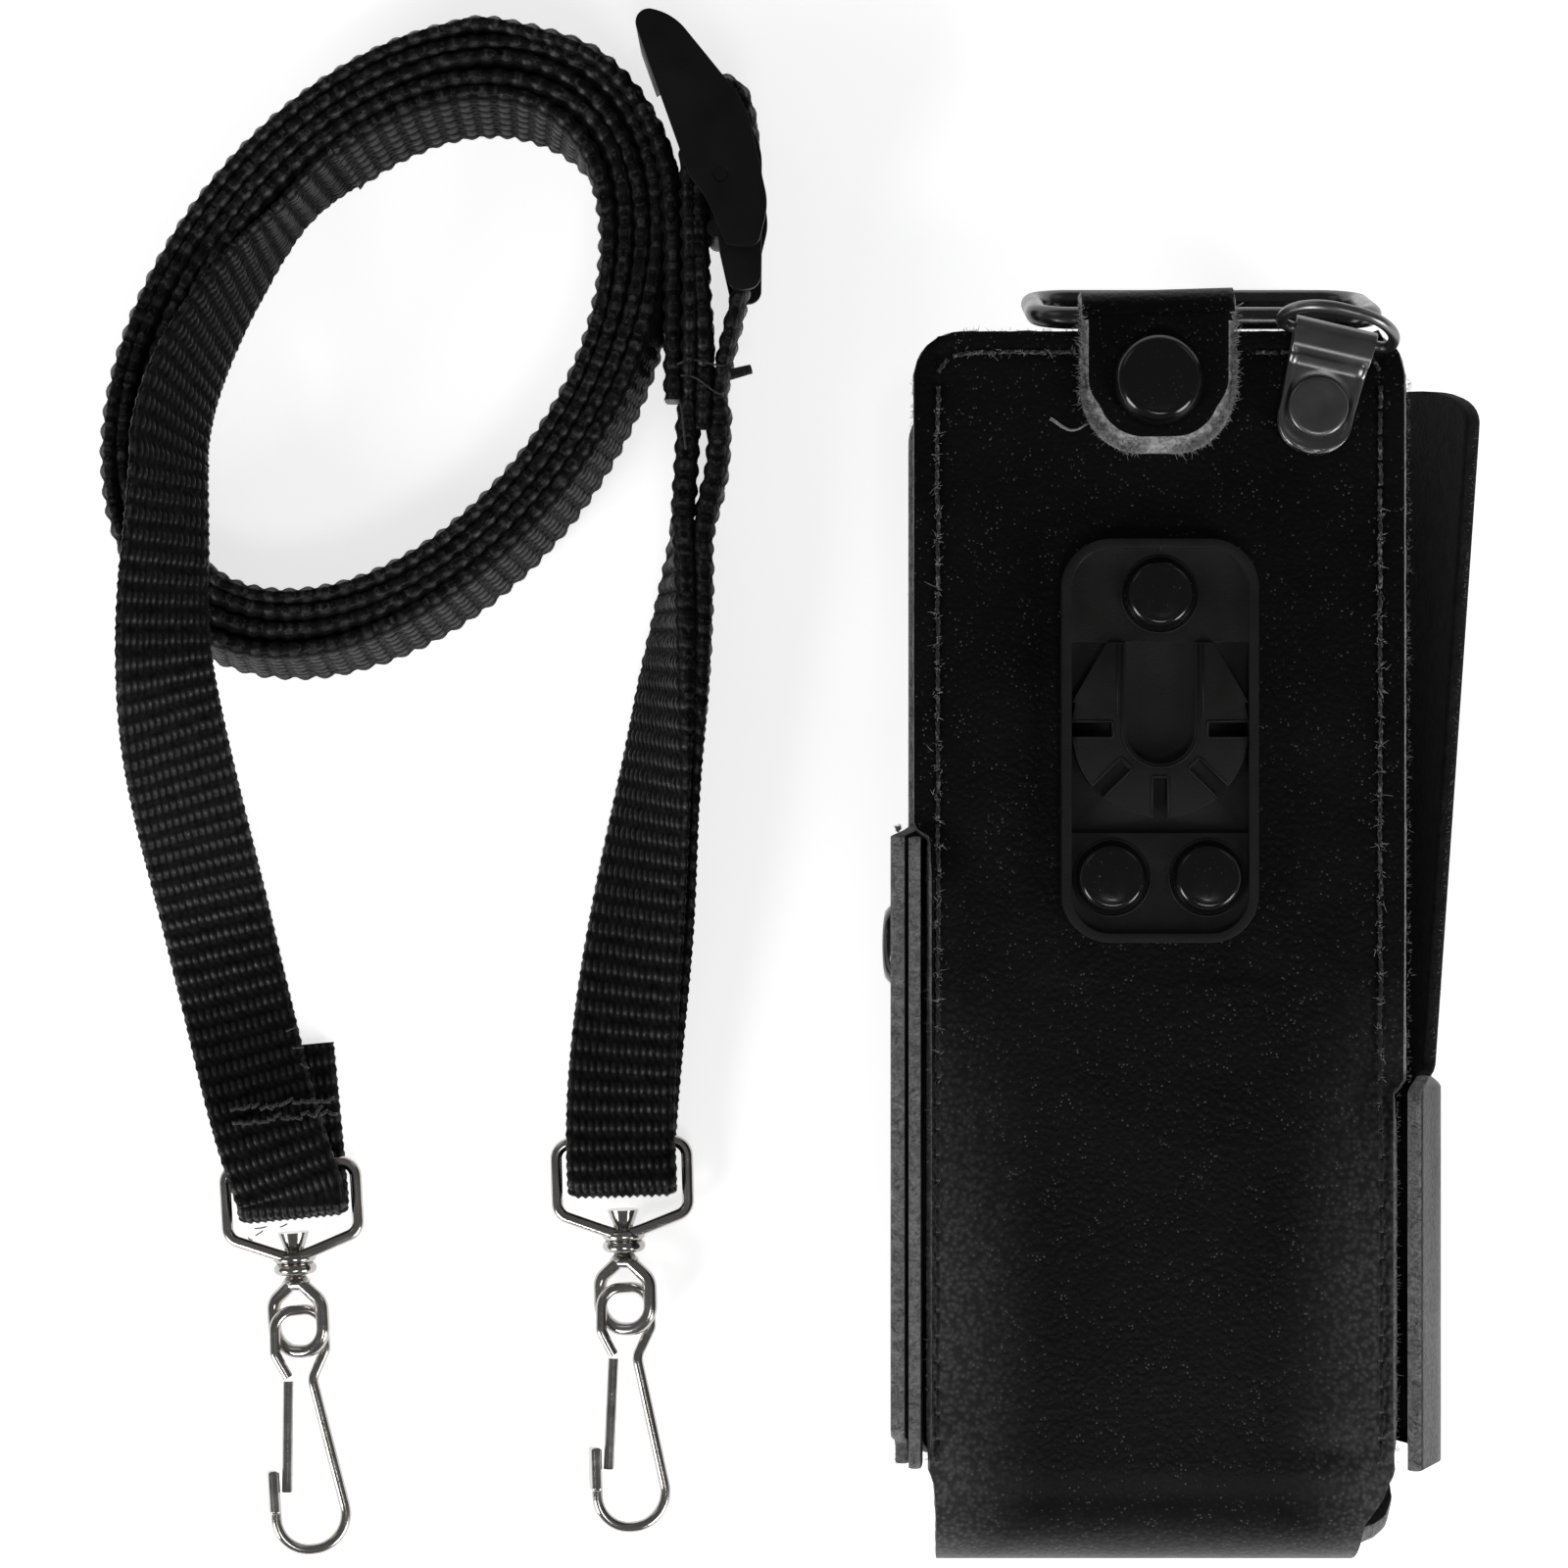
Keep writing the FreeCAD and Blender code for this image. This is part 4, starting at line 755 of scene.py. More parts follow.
def ribbon(name, centres, sides, across=60, step=0.45, replaces=(),
           phase=0.0, thick=WEB_T, open_start=False):
    """Woven webbing along a line: rows of raised floats, rounded and scalloped edges."""
    line, side, s = resample(centres, step, sides)
    s = s + phase
    tangent = unit(np.gradient(line, axis=0))
    side = unit(side - tangent * np.sum(side * tangent, 1, keepdims=True))
    up = unit(np.cross(tangent, side))
    half = WEB_W / 2 - 0.15
    thick = thick(line)[:, None] if callable(thick) else thick
    v = np.linspace(-half, half, across + 1)[1:-1]
    v = np.concatenate([[-half, -half + 0.12], v[1:-1], [half - 0.12, half]])
    env = np.sqrt(np.clip(1 - np.abs(v / half) ** 14, 0, 1))
    env[[0, -1]] = 0.0
    row = 0.5 + 0.5 * np.cos(2 * math.pi * (s[:, None] + 0.12 * np.sin(v * 1.9)[None]) / ROW)
    cell = 0.5 + 0.5 * np.cos(2 * math.pi * v / FLOAT)[None]
    weave = np.maximum(row ** 0.6 * (0.35 + 0.65 * cell), (1 - row) ** 2.0 * 0.5 * (1 - cell))
    jitter = 1 + 0.18 * lump(np.dstack(np.broadcast_arrays(s[:, None], v[None], 0 * s[:, None])),
                             1.7, phase + 2)
    bead = 0.5 + 0.5 * np.cos(4 * math.pi * s / ROW + 0.8 * np.sin(s * 0.9))
    selvage = (np.abs(v) > half - 0.75)[None]
    height = thick / 2 - 0.32 + 0.62 * weave * jitter
    height = np.where(selvage, thick / 2 - 0.22 + 0.2 * bead[:, None] * jitter, height) * env[None]
    scallop = 1 + (0.026 * bead - 0.012)[:, None] * (np.abs(v) > half - 1.2)
    flat = line[:, None] + side[:, None] * (v[None] * scallop)[..., None]
    top, low = flat + up[:, None] * height[..., None], flat - up[:, None] * height[..., None]
    loop = np.concatenate([top, low[:, -2:0:-1]], axis=1)
    uv_v = np.concatenate([v, v[-2:0:-1]])
    uv = np.dstack(np.broadcast_arrays(s[:, None], uv_v[None])).reshape(-1, 2) * MM
    n, k = loop.shape[:2]
    faces = grid_faces(n, k, wrap=True).tolist()
    faces += [list(range((n - 1) * k, n * k))[::-1]] + ([] if open_start else [list(range(k))])
    obj = mesh_piece(name, loop.reshape(-1, 3), faces, "strap",
                     [WEB], uv=uv, replaces=replaces)
    return obj, s[-1] - phase


def coil_point(angle, share, z_shift=0.0):
    """Centre and width direction of the wound strap; share goes from 0 inside to 1 outside."""
    a, b = [low + COIL_MARGIN + (high - low - 2 * COIL_MARGIN) * share
            for low, high in zip(COIL_INNER, COIL_OUTER)]
    c, s = math.cos(math.radians(COIL_TURN)), math.sin(math.radians(COIL_TURN))
    u, w = a * math.cos(math.radians(angle)), b * math.sin(math.radians(angle))
    k = 0.5 + z_shift / COIL_H
    return (v3(COIL_X + u * c - w * s + COIL_LEAN[0] * k, COIL_Y + u * s + w * c + COIL_LEAN[1] * k,
               COIL_H / 2 + 0.1 + z_shift), unit(v3(COIL_LEAN[0], COIL_LEAN[1], COIL_H)))


def coil_turns():
    """About four and a quarter turns from the inside out, then down beside the adjuster."""
    centres, sides = [], []
    first, last = 64.0, -360 * 4 + 26.0
    for angle in np.arange(first, last, -9.0):
        share = (first - angle) / (first - last)
        begun = ease((first - angle) / 60.0)
        drift = noise.noise(Vector((angle / 55.0, 4.0, 0)))
        wander = 0.10 * drift * math.sin(share * math.pi) ** 0.5
        lift = 0.7 * noise.noise(Vector((angle / 90.0, 9.0, 0))) * begun
        c, w = coil_point(angle, min(max(share + wander, 0), 1), lift)
        w = unit(w + 0.10 * noise.noise(Vector((angle / 70.0, 1.0, 3.0))) * v3(1, 1, 0) * begun)
        centres.append(c)
        sides.append(w)
    lead = [(-81.2, 127.9, 9.0), (-75.2, 123.8, 9.2), (-70.7, 117.8, 9.4), (-68.0, 111.0, 9.6),
            (-67.3, 104.0, 9.8), (-67.0, 95.0, 9.4), (-67.0, 86.0, 8.9), (-67.0, 78.0, 8.6)]
    return centres + [v3(*p) for p in lead], sides + [UP] * len(lead)


def left_run():
    """Out of the inside of the coil, over its turns, and down to the left hook."""
    _, down, across, end = strap_end("left")
    centres, sides = [], []

    def lean(y):
        return math.radians(np.interp(y, [46, 52, 60, 65, 77, 86, 97, 106, 110.5],
                                      [44, 46, 51, 54, 58.5, 63.5, 72, 84, 90]))
    for angle in np.linspace(64.0, 145, 12):
        t = (angle - 64.0) / 81.0
        c, w = coil_point(angle, 0)
        ahead = coil_point(angle + 1, 0)[0] - coil_point(angle - 1, 0)[0]
        inward = unit(np.cross(UP, ahead))
        c = c + inward * 1.5 * ease(t * 1.6) * (1 - 0.7 * t)
        c[2] = 8.1 + (22.4 - 8.1) * ease((angle - 80) / 70)
        tilt = lean(c[1])
        tip = ease(t * 4)
        centres.append(c)
        sides.append(unit(-w * (1 - tip) + (inward * math.cos(tilt) - UP * math.sin(tilt)) * tip))
    for i in range(1, 25):
        t = i / 24
        c = bezier(v3(-137.6, 60.5, 0), v3(-141, 32, 0), v3(-133.5, -6, 0), end - down * 0.5, t)
        tilt = math.radians(44 * (1 - ease((52 - c[1]) / 68)))
        over = ease(c[1] / 43)
        low = 8 * math.sin(tilt) + 0.9
        c[2] = max(low + (COIL_H + 0.3) * over, 0)
        c[2] += (BAR_Z + BAR_TO_RUN - low) * ease((-c[1] - 5) / 28)
        along = ease((10 - c[1]) / 45)
        flat = RIGHT * (1 - along) + across * along
        centres.append(c)
        tilt = max(tilt, lean(c[1])) if c[1] > 46 else tilt
        sides.append(flat * math.cos(tilt) - UP * math.sin(tilt))
    centres += [round_bar(end, down, i) for i in range(1, 8)]
    for i in range(7):
        c = end - down * (3.6 * i)
        centres.append(v3(c[0], c[1], BAR_Z - BAR_TO_RUN + 0.03 * i))
    return centres, sides + [across] * 14


def right_run():
    """Two layers from below the adjuster to the right hook and back, turning to lie flat."""
    _, down, across, end = strap_end("right")
    front, back = [], []
    for i in range(27):
        t = i / 26
        c = bezier(v3(-64.9, 78.5, 0), v3(-66.5, 32, 0), v3(-76.2, -6, 0), end, t)
        tilt = math.radians(90) * min(max((c[1] + 30) / 92, 0.0), 1.0) ** 1.15
        gap = 2 * BAR_TO_RUN - 1.4 * ease((c[1] + 30) / 25) + 0.9 * ease((c[1] - 20) / 40)
        gap -= 1.7 * ease((c[1] + 10) / 30) * ease((69 - c[1]) / 12)
        c[2] = gap * math.cos(tilt) + 8 * math.sin(tilt) + 0.75 * math.cos(tilt) + 0.12
        c[2] += (BAR_Z + BAR_TO_RUN - c[2]) * ease((-c[1] - 20) / 12)
        along = ease((10 - c[1]) / 40)
        flat = RIGHT * (1 - along) + across * along
        w = unit(flat * math.cos(tilt) + UP * math.sin(tilt))
        n = unit(np.cross(w, v3(0.05, -1, 0)))
        n = n if n[2] >= 0 and n[0] <= 0.2 else -n
        front.append((c, w))
        back.append((c - n * gap, w))
    frames = front + [(round_bar(end, down, i), across) for i in range(1, 8)] + back[::-1]
    return [f[0] for f in frames], [f[1] for f in frames]


def adjuster_strap():
    """Up the inside, over the adjuster's bar and down the outside."""
    pts = [(-64.85, 79.0), (-64.6, 92), (-64.85, 108), (-64.9, 117),
           (-63.6, 121.2), (-60.7, 122.4), (-57.6, 121),
           (-56.2, 116), (-55.9, 107), (-57.2, 95), (-59.4, 85.4), (-60.66, 79.1)]
    centres = [v3(x, y, 8.15 + (11.9 - 8.15) * ease((y - 82.0) / 8.0)) for x, y in pts]
    return centres, [UP] * len(centres)


def tucked_strap():
    """The middle layer that shows beside the adjuster."""
    points = [(-62.9, 74.0, 8.4), (-62.7, 79.0, 8.8), (-62.7, 84.0, 9.6), (-62.9, 90.0, 11.2),
              (-63.3, 96.0, 11.8), (-63.4, 103.0, 11.9), (-63.3, 109.0, 11.9)]
    return [v3(*p) for p in points], [UP] * len(points)


def right_thickness(line):
    return 1.5 + 1.5 * ease((line[:, 1] - 18) / 22) * (1 - ease((line[:, 1] - 76) / 3))


STRAPS = {
    "strap_web_coil": (coil_turns(), dict(across=22, step=0.52, replaces=["strap_coil"], thick=2.6,
                                          open_start=True)),
    "strap_web_left": (left_run(), dict(replaces=["strap_left_run"], thick=1.6, open_start=True)),
    "strap_web_right": (right_run(), dict(replaces=["strap_right_run"], thick=right_thickness,
                                          phase=1.1)),
    "strap_web_adjuster": (adjuster_strap(), dict(across=45, replaces=["strap_adjuster_run"],
                                                  thick=2.1)),
    "strap_web_tucked": (tucked_strap(), dict(across=45, thick=2.5, phase=0.4))}
web = {name: ribbon(name, *line, **form) for name, (line, form) in STRAPS.items()}

# ---------------------------------------------------------------- tab, snaps and rivets

TAB_X, TAB_W, TAB_END_Y, TAB_T, TAB_R = -0.5, 20.8, 68.0, 1.8, 8.2
LOOP_Y, LOOP_Z, LOOP_R = 86.7, 38.0, 2.1
LOOP_MID_R = LOOP_R + TAB_T / 2
SNAP_Y = 78.0
PLATE_X, PLATE_Z, BAY_H, DISC_Y, DISC_H = -0.4, DEPTH + 0.02, 2.5, 30.5, 3.2
RIVETS = {"top": (PLATE_X, 48.8), "left": (PLATE_X - 6.5, 10.4), "right": (PLATE_X + 6.5, 10.4)}


def tab_skew(x, y):
    """The tab was cut and folded a little askew."""
    return 0.03 * (x - TAB_X) * ease((y - 74) / 12)


def hide_join(verts, faces, index):
    """Where the flap meets its own fold the leather has no cut end: finish it there as its face."""
    x, y, z = face_centres(verts, faces).T
    join = (index == 2) & (y > 86.2) & (z > 39.8) & (np.abs(x - TAB_X) < 10.0)
    return verts, faces, np.where(join, 0, index)


def tab_flap():
    ys = list(TAB_END_Y + TAB_R * (1 - np.cos(np.linspace(0.02, 1, 16) * math.pi / 2)))
    ys = np.array(ys + list(np.linspace(77, 87.1, 15)))
    us = np.linspace(-1, 1, 34)
    corner = np.clip(TAB_R - (ys - TAB_END_Y), 0, TAB_R)
    half = TAB_W / 2 - TAB_R + np.sqrt(np.clip(TAB_R ** 2 - corner ** 2, 0, None))
    x = TAB_X + us[None] * half[:, None]
    y = np.repeat(ys[:, None], len(us), 1)
    d = np.hypot(x - TAB_X, y - SNAP_Y)
    z = LOOP_Z + LOOP_R + TAB_T / 2 + 0.05 * lump(np.dstack([x, y, 0 * x]), 6, 1.0)
    z = z - 0.14 * np.exp(-((d - 6.9) / 0.7) ** 2) + 0.1 * ease((TAB_END_Y + 3 - y) / 3)
    mid = np.dstack([x, y + tab_skew(x, y), z])
    normal = surface_normals(mid)
    normal = normal * np.sign(normal[..., 2:])
    centre = np.dstack([TAB_X + np.clip(x - TAB_X, -2.2, 2.2),
                        np.maximum(mid[..., 1], TAB_END_Y + TAB_R)])
    inset = np.zeros_like(mid)
    inset[..., :2] = (centre - mid[..., :2]) * (0.11 + 0.16 * ease((78 - y) / 5))[..., None]
    sheet = hide_join(*slab(mid, normal, TAB_T, 0.2, 0.8, inset))
    flap = sheet_piece("tab_leather_flap", sheet, None, PALE_SHEET, "tab_flap")
    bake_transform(flap)


def tab_fold():
    path = [(LOOP_Y, LOOP_Z + LOOP_MID_R)]
    path += [(LOOP_Y + LOOP_MID_R * math.sin(a), LOOP_Z + LOOP_MID_R * math.cos(a))
             for a in np.radians(np.arange(15, 180, 15))]
    path += [(y, LOOP_Z - LOOP_MID_R) for y in (LOOP_Y, 80, 74, 69.2)]
    line, _ = resample([(0, y, z) for y, z in path], 0.6)
    us = np.linspace(-1, 1, 30)
    x = TAB_X + us[None] * np.full((len(line), 1), TAB_W / 2 - 0.05)
    y = np.repeat(line[:, 1:2], len(us), 1)
    mid = np.dstack([x, y + tab_skew(x, np.full_like(y, 87.0)) * (y > 85),
                     np.repeat(line[:, 2:], len(us), 1)])
    t = unit(np.gradient(line[:, 1:], axis=0))
    normal = np.zeros_like(mid)
    normal[..., 1], normal[..., 2] = -t[:, 1:], t[:, :1]
    if normal[0, 0, 2] < 0:
        normal = -normal
    sheet = hide_join(*slab(mid, normal, TAB_T - 0.06, 0.15, 0.25))
    sheet_piece("tab_leather_fold", sheet, "case", PALE_SHEET, "tab_loop")


def tab_fibres():
    roots, outs = [], []
    for a in rng.uniform(-0.12, math.pi + 0.12, 1500):
        c, s = math.cos(a), math.sin(a)
        x = TAB_X + np.sign(c) * 2.2 + c * (TAB_R - rng.uniform(0, 1.9))
        y = TAB_END_Y + TAB_R - s * (TAB_R - rng.uniform(0, 1.9))
        roots.append(v3(x, y, 40.5 + rng.uniform(0, 1.0)))
        outs.append(v3(c, -s, 0.4))
    for side in (-1, 1):
        for t in rng.uniform(0, 1, 420):
            y = 75.5 + t * 12.5
            roots.append(v3(TAB_X + side * (TAB_W / 2 - rng.uniform(-0.1, 0.6)),
                            y, 40.4 + rng.uniform(0, 1.3)))
            outs.append(v3(side, 0, 0.4))
    fuzz = fibres("tab_edge_fibres", roots, outs, 0.85, 0.05, PALE_EDGE, None, 0.9)
    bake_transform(fuzz)
    t = np.linspace(0, 1, 12)
    loose = np.column_stack([-10.2 - 5.0 * t, 72.0 - 0.9 * np.sin(t * 4),
                             41.0 + 0.3 * np.sin(t * 5)])
    verts, faces = merged([tube(loose, 0.16, 5),
                           tube(loose + v3(0.1, 0.25, 0.05) * t[:, None], 0.1, 5),
                           tube(np.column_stack([9.6 + 1.5 * t, 87.6 + 0.9 * t, 41.3 - 0.4 * t]),
                                0.1, 5)])
    mesh_piece("tab_loose_fibre", verts, faces, "tab", [PALE_EDGE])


def turned_piece(name, profile, origin, axis, body, node, material=ENAMEL,
                 wobble=0.02):
    verts, faces = lathe(profile, origin, axis, wobble=wobble)
    mesh_piece(name, verts, faces, body, [material], replaces=[node])


def caps():
    snap_z, rivet_z = LOOP_Z + LOOP_R + TAB_T + 0.03, DEPTH + 0.04 + BAY_H
    side_axis = v3(-0.994, 0, -0.106)
    snap = [(0, 2.86), (1.5, 2.85), (3.2, 2.78), (4.3, 2.66), (4.55, 2.6),
            (4.8, 2.62), (5.15, 2.45),
            (5.6, 2.05), (6.0, 1.45), (6.22, 0.85), (6.28, 0.35), (6.1, 0.05),
            (5.4, 0.02), (0, 0.02)]
    turned_piece("snap_cap_pressed", snap, (TAB_X, SNAP_Y, snap_z), UP, "tab", "snap_cap")
    for side, (x, y) in RIVETS.items():
        inside = DEPTH - LEATHER * (2 if y > 17 else 1) - 0.02 - rivet_z
        rivet = [(0, 1.95), (1.6, 1.93), (3.0, 1.84), (3.55, 1.7), (3.75, 1.72), (4.1, 1.52),
                 (4.55, 1.0), (4.82, 0.45), (4.86, 0.12), (4.6, 0.0), (2.0, 0.0),
                 (2.0, inside - 0.9),
                 (2.8, inside - 0.95), (2.75, inside - 1.6), (0, inside - 1.6)]
        turned_piece("rivet_" + side, rivet, (x, y, rivet_z), UP, "case", "plate_rivet_" + side)
    side_cap = [(0, 2.3), (2.5, 2.25), (4.2, 2.05), (4.5, 1.95), (4.8, 1.93), (5.4, 1.4),
                (5.85, 0.75), (5.95, 0.3), (5.7, 0.0), (1.5, 0.0), (1.5, -3.1), (0, -3.1)]
    turned_piece("side_snap_pressed", side_cap, v3(-34.75, 0.5, 20) + unit(side_axis) * 0.3,
                 side_axis, "case", "side_snap_cap")


# ---------------------------------------------------------------- clip, plate and adjuster

CLIP_X, CLIP_Y, CLIP_Z, CLIP_LEAN = 21.1, 74.25, 40.45, 13.0
CLIP_T, CURL_R, CLIP_REACH = 0.8, 1.0, 9.7


def clip_place(points):
    """From the clip's own frame, y towards the D-ring, to the case."""
    c, s = math.cos(math.radians(-CLIP_LEAN)), math.sin(math.radians(-CLIP_LEAN))
    x, y = points[..., 0] * c - points[..., 1] * s, points[..., 0] * s + points[..., 1] * c
    return np.stack([x + CLIP_X, y + CLIP_Y, points[..., 2] + CLIP_Z], -1)


def clip():
    """The sheet-metal clip: both leaves, the curl round the D-ring's bar, and the rivet."""
    t, mid_r, curl_z = CLIP_T, CURL_R + CLIP_T / 2, CLIP_T + CURL_R
    line = [(y, t * 1.5 + 0.05) for y in (-6.4, -3, 2, 4.4)]
    line += [(5.6, t * 1.5 + 0.22), (7.2, curl_z + mid_r - 0.25), (8.3, curl_z + mid_r - 0.02)]
    line += [(CLIP_REACH + mid_r * math.cos(a), curl_z + mid_r * math.sin(a))
             for a in np.radians(90 - 22.5 * np.arange(9))]
    line += [(y, t / 2) for y in (7.8, 4.6, 1, -3, -6.3)]
    path, run = resample([(0, y, z) for y, z in line], 0.3)
    y, z = path[:, 1], path[:, 2]
    half = 5.0 + 0.75 * np.clip(y, 0, 14) / 14.4
    half = np.where(y < -1.7, 0.3 + np.sqrt(np.clip(4.7 ** 2 - (y + 1.7) ** 2, 0.05, None)), half)
    us = np.sin(np.linspace(-1, 1, 41) * math.pi / 2)
    us = 0.6 * us + 0.4 * np.linspace(-1, 1, 41)
    x = us[None] * half[:, None]
    yy, zz = np.repeat(y[:, None], 41, 1), np.repeat(z[:, None], 41, 1)
    upper = (run < 17.8)[:, None]
    from_edge = half[:, None] - np.abs(x)
    rim = 0.24 * np.exp(-((from_edge - 0.45) / 0.4) ** 2) * upper * (yy < 7.0)
    d = np.hypot(x, yy)
    end_rim = 0.3 * np.exp(-((d - 5.75) / 0.5) ** 2) * upper * (yy < -1.5)
    dish = -0.16 * ease((4.9 - d) / 0.5) * upper
    dip, swell = np.exp(-((yy - 6.4) / 0.3) ** 2), np.exp(-((yy - 5.4) / 0.35) ** 2)
    crease = -0.1 * dip * upper + 0.07 * swell * upper
    tangent = unit(np.gradient(path[:, 1:], axis=0))
    ny, nz = -tangent[:, 1], tangent[:, 0]
    off = np.maximum(rim, end_rim) + dish + crease
    mid = np.dstack([x, yy + ny[:, None] * off, zz + nz[:, None] * off])
    normal = np.zeros_like(mid)
    normal[..., 1], normal[..., 2] = ny[:, None], nz[:, None]
    placed = clip_place(mid)
    verts, faces, _ = slab(placed, clip_place(mid + normal) - placed, t - 0.04, 0.1, 0.0)
    mesh_piece("clip_sheet", verts, faces, "ring_clip", [SATIN], replaces=["ring_clip"])
    z0 = CLIP_Z + 2 * CLIP_T + 0.02
    inside = DEPTH - 2 * LEATHER - 0.02 - z0
    rivet = [(0, 0.62), (2.4, 0.66), (3.4, 0.74), (3.9, 0.7), (4.12, 0.4), (4.15, 0.02), (1.5, 0.0),
             (1.5, inside), (4.2, inside), (4.1, inside - 0.75), (0, inside - 0.8)]
    turned_piece("clip_rivet", rivet, (CLIP_X, CLIP_Y, z0), UP, "case", "ring_clip_rivet", SATIN,
                 0.05)


def bevelled(node, name, width, material, body, segments=2):
    """The CAD shape with its moulded edges rounded."""
    bm = bmesh.new()
    bm.from_mesh(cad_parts[node].data)
    bmesh.ops.remove_doubles(bm, verts=bm.verts, dist=2e-6)
    bmesh.ops.dissolve_limit(bm, angle_limit=math.radians(1.5), verts=bm.verts, edges=bm.edges)
    sharp = [e for e in bm.edges
             if len(e.link_faces) == 2 and e.calc_face_angle(0) > math.radians(28)]
    bmesh.ops.bevel(bm, geom=sharp, offset=width * MM, segments=segments, profile=0.6,
                    affect="EDGES", clamp_overlap=True)
    bmesh.ops.triangulate(bm, faces=bm.faces)
    mesh = bpy.data.meshes.new(name)
    bm.to_mesh(mesh)
    bm.free()
    mesh.materials.clear()
    mesh.materials.append(material)
    mesh.polygons.foreach_set("material_index", np.zeros(len(mesh.polygons), np.int32))
    mesh.polygons.foreach_set("use_smooth", np.ones(len(mesh.polygons), bool))
    mesh.set_sharp_from_angle(angle=math.radians(35))
    obj = bpy.data.objects.new(name, mesh)
    bpy.context.collection.objects.link(obj)
    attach(obj, body)
    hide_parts(node)


def plate_lines():
    """Raised moulded lines beside the slot and round the notches, and a collar round each rivet."""
    z = PLATE_Z + DISC_H + 0.02
    parts = []
    reach, slot_top = 4.65 + 0.5, 42.0
    u = [(PLATE_X - reach * math.cos(a), DISC_Y - reach * math.sin(a), z)
         for a in np.radians(np.linspace(0, 180, 25))]
    u = [(PLATE_X - reach, slot_top, z)] + u + [(PLATE_X + reach, slot_top, z)]
    parts.append(tube(u, 0.15))
    for x in (PLATE_X - 4.65 - 1.15, PLATE_X + 4.65 + 1.15):
        parts.append(tube([(x, slot_top, z), (x, DISC_Y + 1.5, z)], 0.1))
    for k in range(5):
        a = math.radians(180 + 45 * k)
        d, n = v3(math.cos(a), math.sin(a), 0), v3(-math.sin(a), math.cos(a), 0)
        o = v3(PLATE_X, DISC_Y, z)
        parts.append(tube([o + d * 11.6 + n * 1.12, o + d * 6.6 + n * 1.12, o + d * 6.35 + n * 0.9,
                           o + d * 6.35 - n * 0.9, o + d * 6.6 - n * 1.12, o + d * 11.6 - n * 1.12],
                          0.14))
    for x, y in RIVETS.values():
        ring = [(x + 5.2 * math.cos(a), y + 5.2 * math.sin(a), PLATE_Z + BAY_H + 0.02)
                for a in np.linspace(0, 2 * math.pi, 48, endpoint=False)]
        parts.append(tube(ring, 0.17, closed=True))
    nib = [(56.1, 3.5), (55.1, 3.55), (54.4, 2.5), (54.0, 2.5)]
    parts.append(tube([(PLATE_X, y, PLATE_Z + z) for y, z in nib], 0.1, 6))
    verts, faces = merged(parts)
    mesh_piece("plate_moulded_lines", verts, faces, "case", [PLATE])


tab_flap()
tab_fold()
tab_fibres()
caps()
clip()
bevelled("belt_plate", "dock_plate_moulding", 0.22, PLATE, "case")
plate_lines()
bevelled("adjuster_lever", "adjuster_lever_moulding", 0.75, LEVER,
         "adjuster_lever", 3)
bevelled("adjuster_frame", "adjuster_frame_moulding", 0.3, LEVER, "strap")


# ---------------------------------------------------------------- sewn joints on the strap

def strap_sewing():
    """The stitches over the left fold, the tie below the adjuster and loose yarn ends."""
    parts = []
    base, down, across, _ = strap_end("left")
    for row in (7.2, 9.0):
        for k in range(15):
            x = -7.2 + k + rng.normal(0, 0.12)
            a = base + across * x - down * (row + rng.normal(0, 0.25)) + UP * 3.25
            b = base + across * (x + 1.0) - down * (row + rng.normal(0, 0.35)) + UP * 3.25
            parts.append(stitch(a, b, 0.35, 0.3))
    t = np.linspace(0, 1, 9)
    for _ in range(6):
        x, y = rng.uniform(-7.5, 7.5), rng.uniform(6.5, 10)
        end = across * rng.uniform(-2.5, 2.5) + down * rng.uniform(-1.5, 1.5)
        hump = np.outer(np.sin(t * math.pi), UP) * 0.7
        parts.append(tube(base + across * x + down * y + np.outer(t, end) + hump + UP * 3.3,
                          0.1, 5))
    parts.append(tube(np.column_stack([-60.0 + 4.0 * t, 81.6 + 1.1 * t, 9.4 - 0.5 * t]),
                      0.85 - 0.15 * t, 6))
    for (x0, y0), (x1, y1), z in (((-66.4, 82.6), (-59.6, 82.9), 16.9),
                                  ((-66.0, 77.2), (-65.2, 71.0), 16.6),
                                  ((-65.9, 81.0), (-60.2, 78.8), 16.7)):
        parts.append(tube(np.column_stack([x0 + (x1 - x0) * t,
                                           y0 + (y1 - y0) * t + 0.5 * np.sin(t * 5),
                                           z + 0.35 * np.sin(t * math.pi)]), 0.16, 5))
    for x, y, dx, dy in ((-122.0, -12.6, 1.6, 0.7), (-119.9, -17.3, 1.2, -0.6),
                         (-121.0, -15.0, 1.5, 0.1)):
        parts.append(tube(np.column_stack([x - 1.2 + dx * t, y + dy * t,
                                           5.6 + 0.5 * np.sin(t * 3)]), 0.13, 5))
    verts, faces = merged(parts)
    mesh_piece("strap_fold_stitches", verts, faces, "strap", [WEB_YARN])


strap_sewing()

# ---------------------------------------------------------------- finishes on the CAD's own parts

finishes = {"plate_rivet_washers": STEEL, "snap_socket": STEEL, "snap_stud": STEEL,
            "side_snap_washer": STEEL, "d_ring": SATIN, "carry_ring": GUN, "adjuster_roller": LEVER,
            "adjuster_pin": ENAMEL}
finishes.update({side + "_" + part: NICKEL for side in ("left", "right")
                 for part in ("d_loop", "swivel_eye", "hook", "gate")})
for node, material in finishes.items():
    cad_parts[node].data.materials.clear()
    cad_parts[node].data.materials.append(material)

# ---------------------------------------------------------------- floor, light and camera

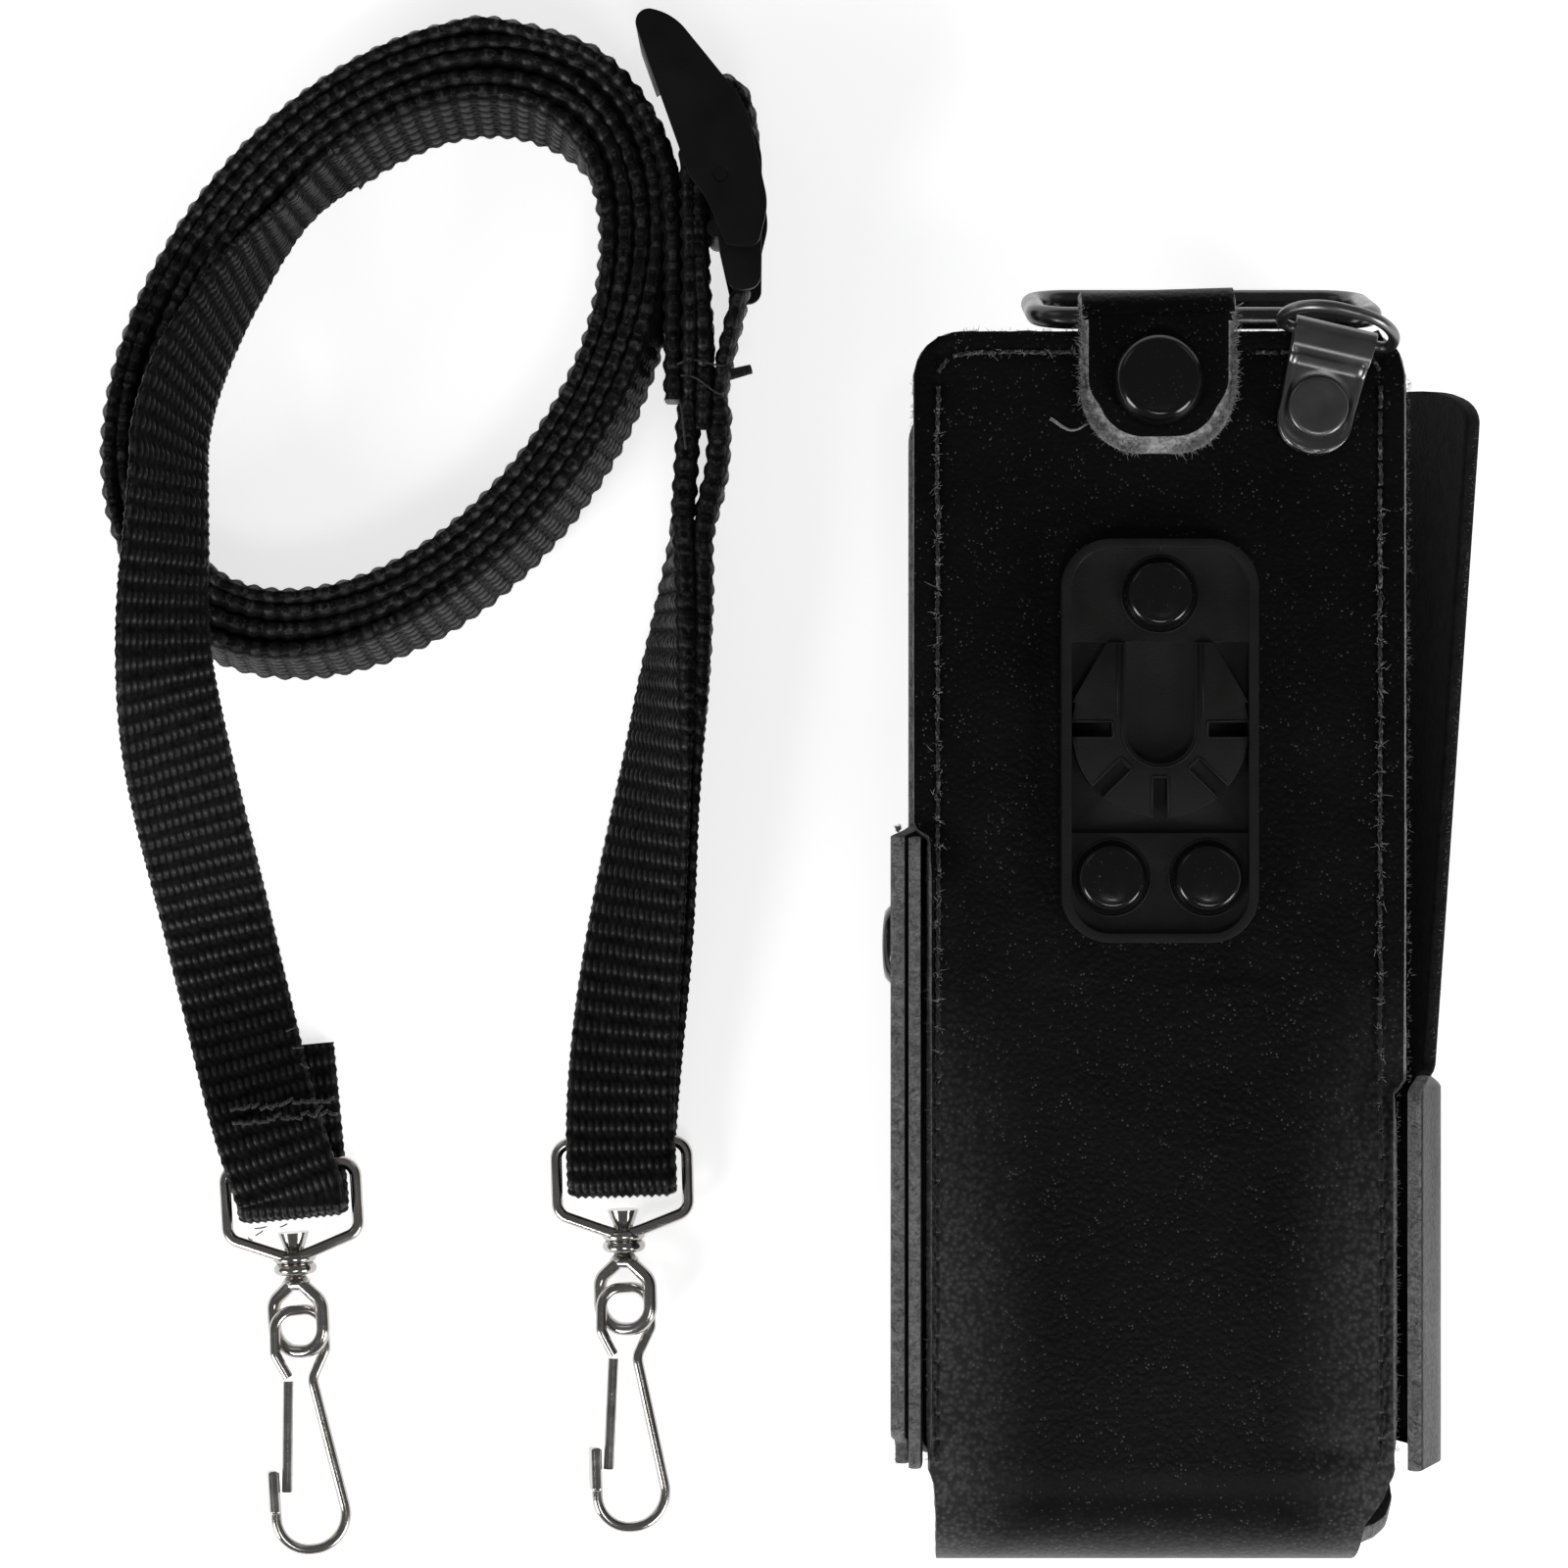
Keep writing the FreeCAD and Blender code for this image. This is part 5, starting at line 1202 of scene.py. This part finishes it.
FLOOR_HALF, FLOOR_Z = 1500, -0.1
CAMERA_X, CAMERA_Y, CAMERA_Z, CAMERA_LENS = -0.0513, 0.0231, 0.6, 94.5  # metres, and the lens in mm

corners = [(x * FLOOR_HALF, y * FLOOR_HALF, FLOOR_Z)
           for x, y in ((-1, -1), (1, -1), (1, 1), (-1, 1))]
mesh = bpy.data.meshes.new("studio_floor")
mesh.from_pydata([tuple(np.array(p) * MM) for p in corners], [], [(0, 1, 2, 3)])
mesh.materials.append(floor_finish())
floor = bpy.data.objects.new("studio_floor", mesh)
bpy.context.collection.objects.link(floor)


def soft_light(name, place, aim, size, power):
    """A round lamp of that width in metres and power in watts, turned to the point aim."""
    light = bpy.data.lights.new(name, "AREA")
    light.shape, light.size, light.energy = "DISK", size, power
    obj = bpy.data.objects.new(name, light)
    obj.location = place
    obj.rotation_euler = (Vector(aim) - Vector(place)).to_track_quat("-Z", "Y").to_euler()
    bpy.context.collection.objects.link(obj)


soft_light("light_lower_left", (-0.75, -0.55, 0.42), (-0.06, 0, 0), 0.4, 4.4)
soft_light("light_lower_right", (0.65, -0.55, 0.42), (-0.03, 0, 0), 0.4, 4.4)
soft_light("light_upper_left", (-0.75, 0.7, 0.5), (-0.05, 0.05, 0), 0.5, 0.3)
soft_light("light_upper_right", (0.65, 0.7, 0.5), (-0.05, 0.05, 0), 0.5, 0.3)
soft_light("light_foot", (0.07, -0.47, 1.0), (0.0, -0.05, 0), 0.3, 1.3)

world = bpy.data.worlds.new("studio")
world.use_nodes = True
world.node_tree.nodes["Background"].inputs[0].default_value = (1, 1, 1, 1)
world.node_tree.nodes["Background"].inputs[1].default_value = 0.13
bpy.context.scene.world = world

camera = bpy.data.cameras.new("camera")
camera.sensor_width, camera.lens = 36.0, CAMERA_LENS
camera.clip_start, camera.clip_end = 0.01, 10
view = bpy.data.objects.new("camera", camera)
view.location = (CAMERA_X, CAMERA_Y, CAMERA_Z)
bpy.context.collection.objects.link(view)
bpy.context.scene.camera = view
bpy.context.scene.view_settings.view_transform = "Standard"
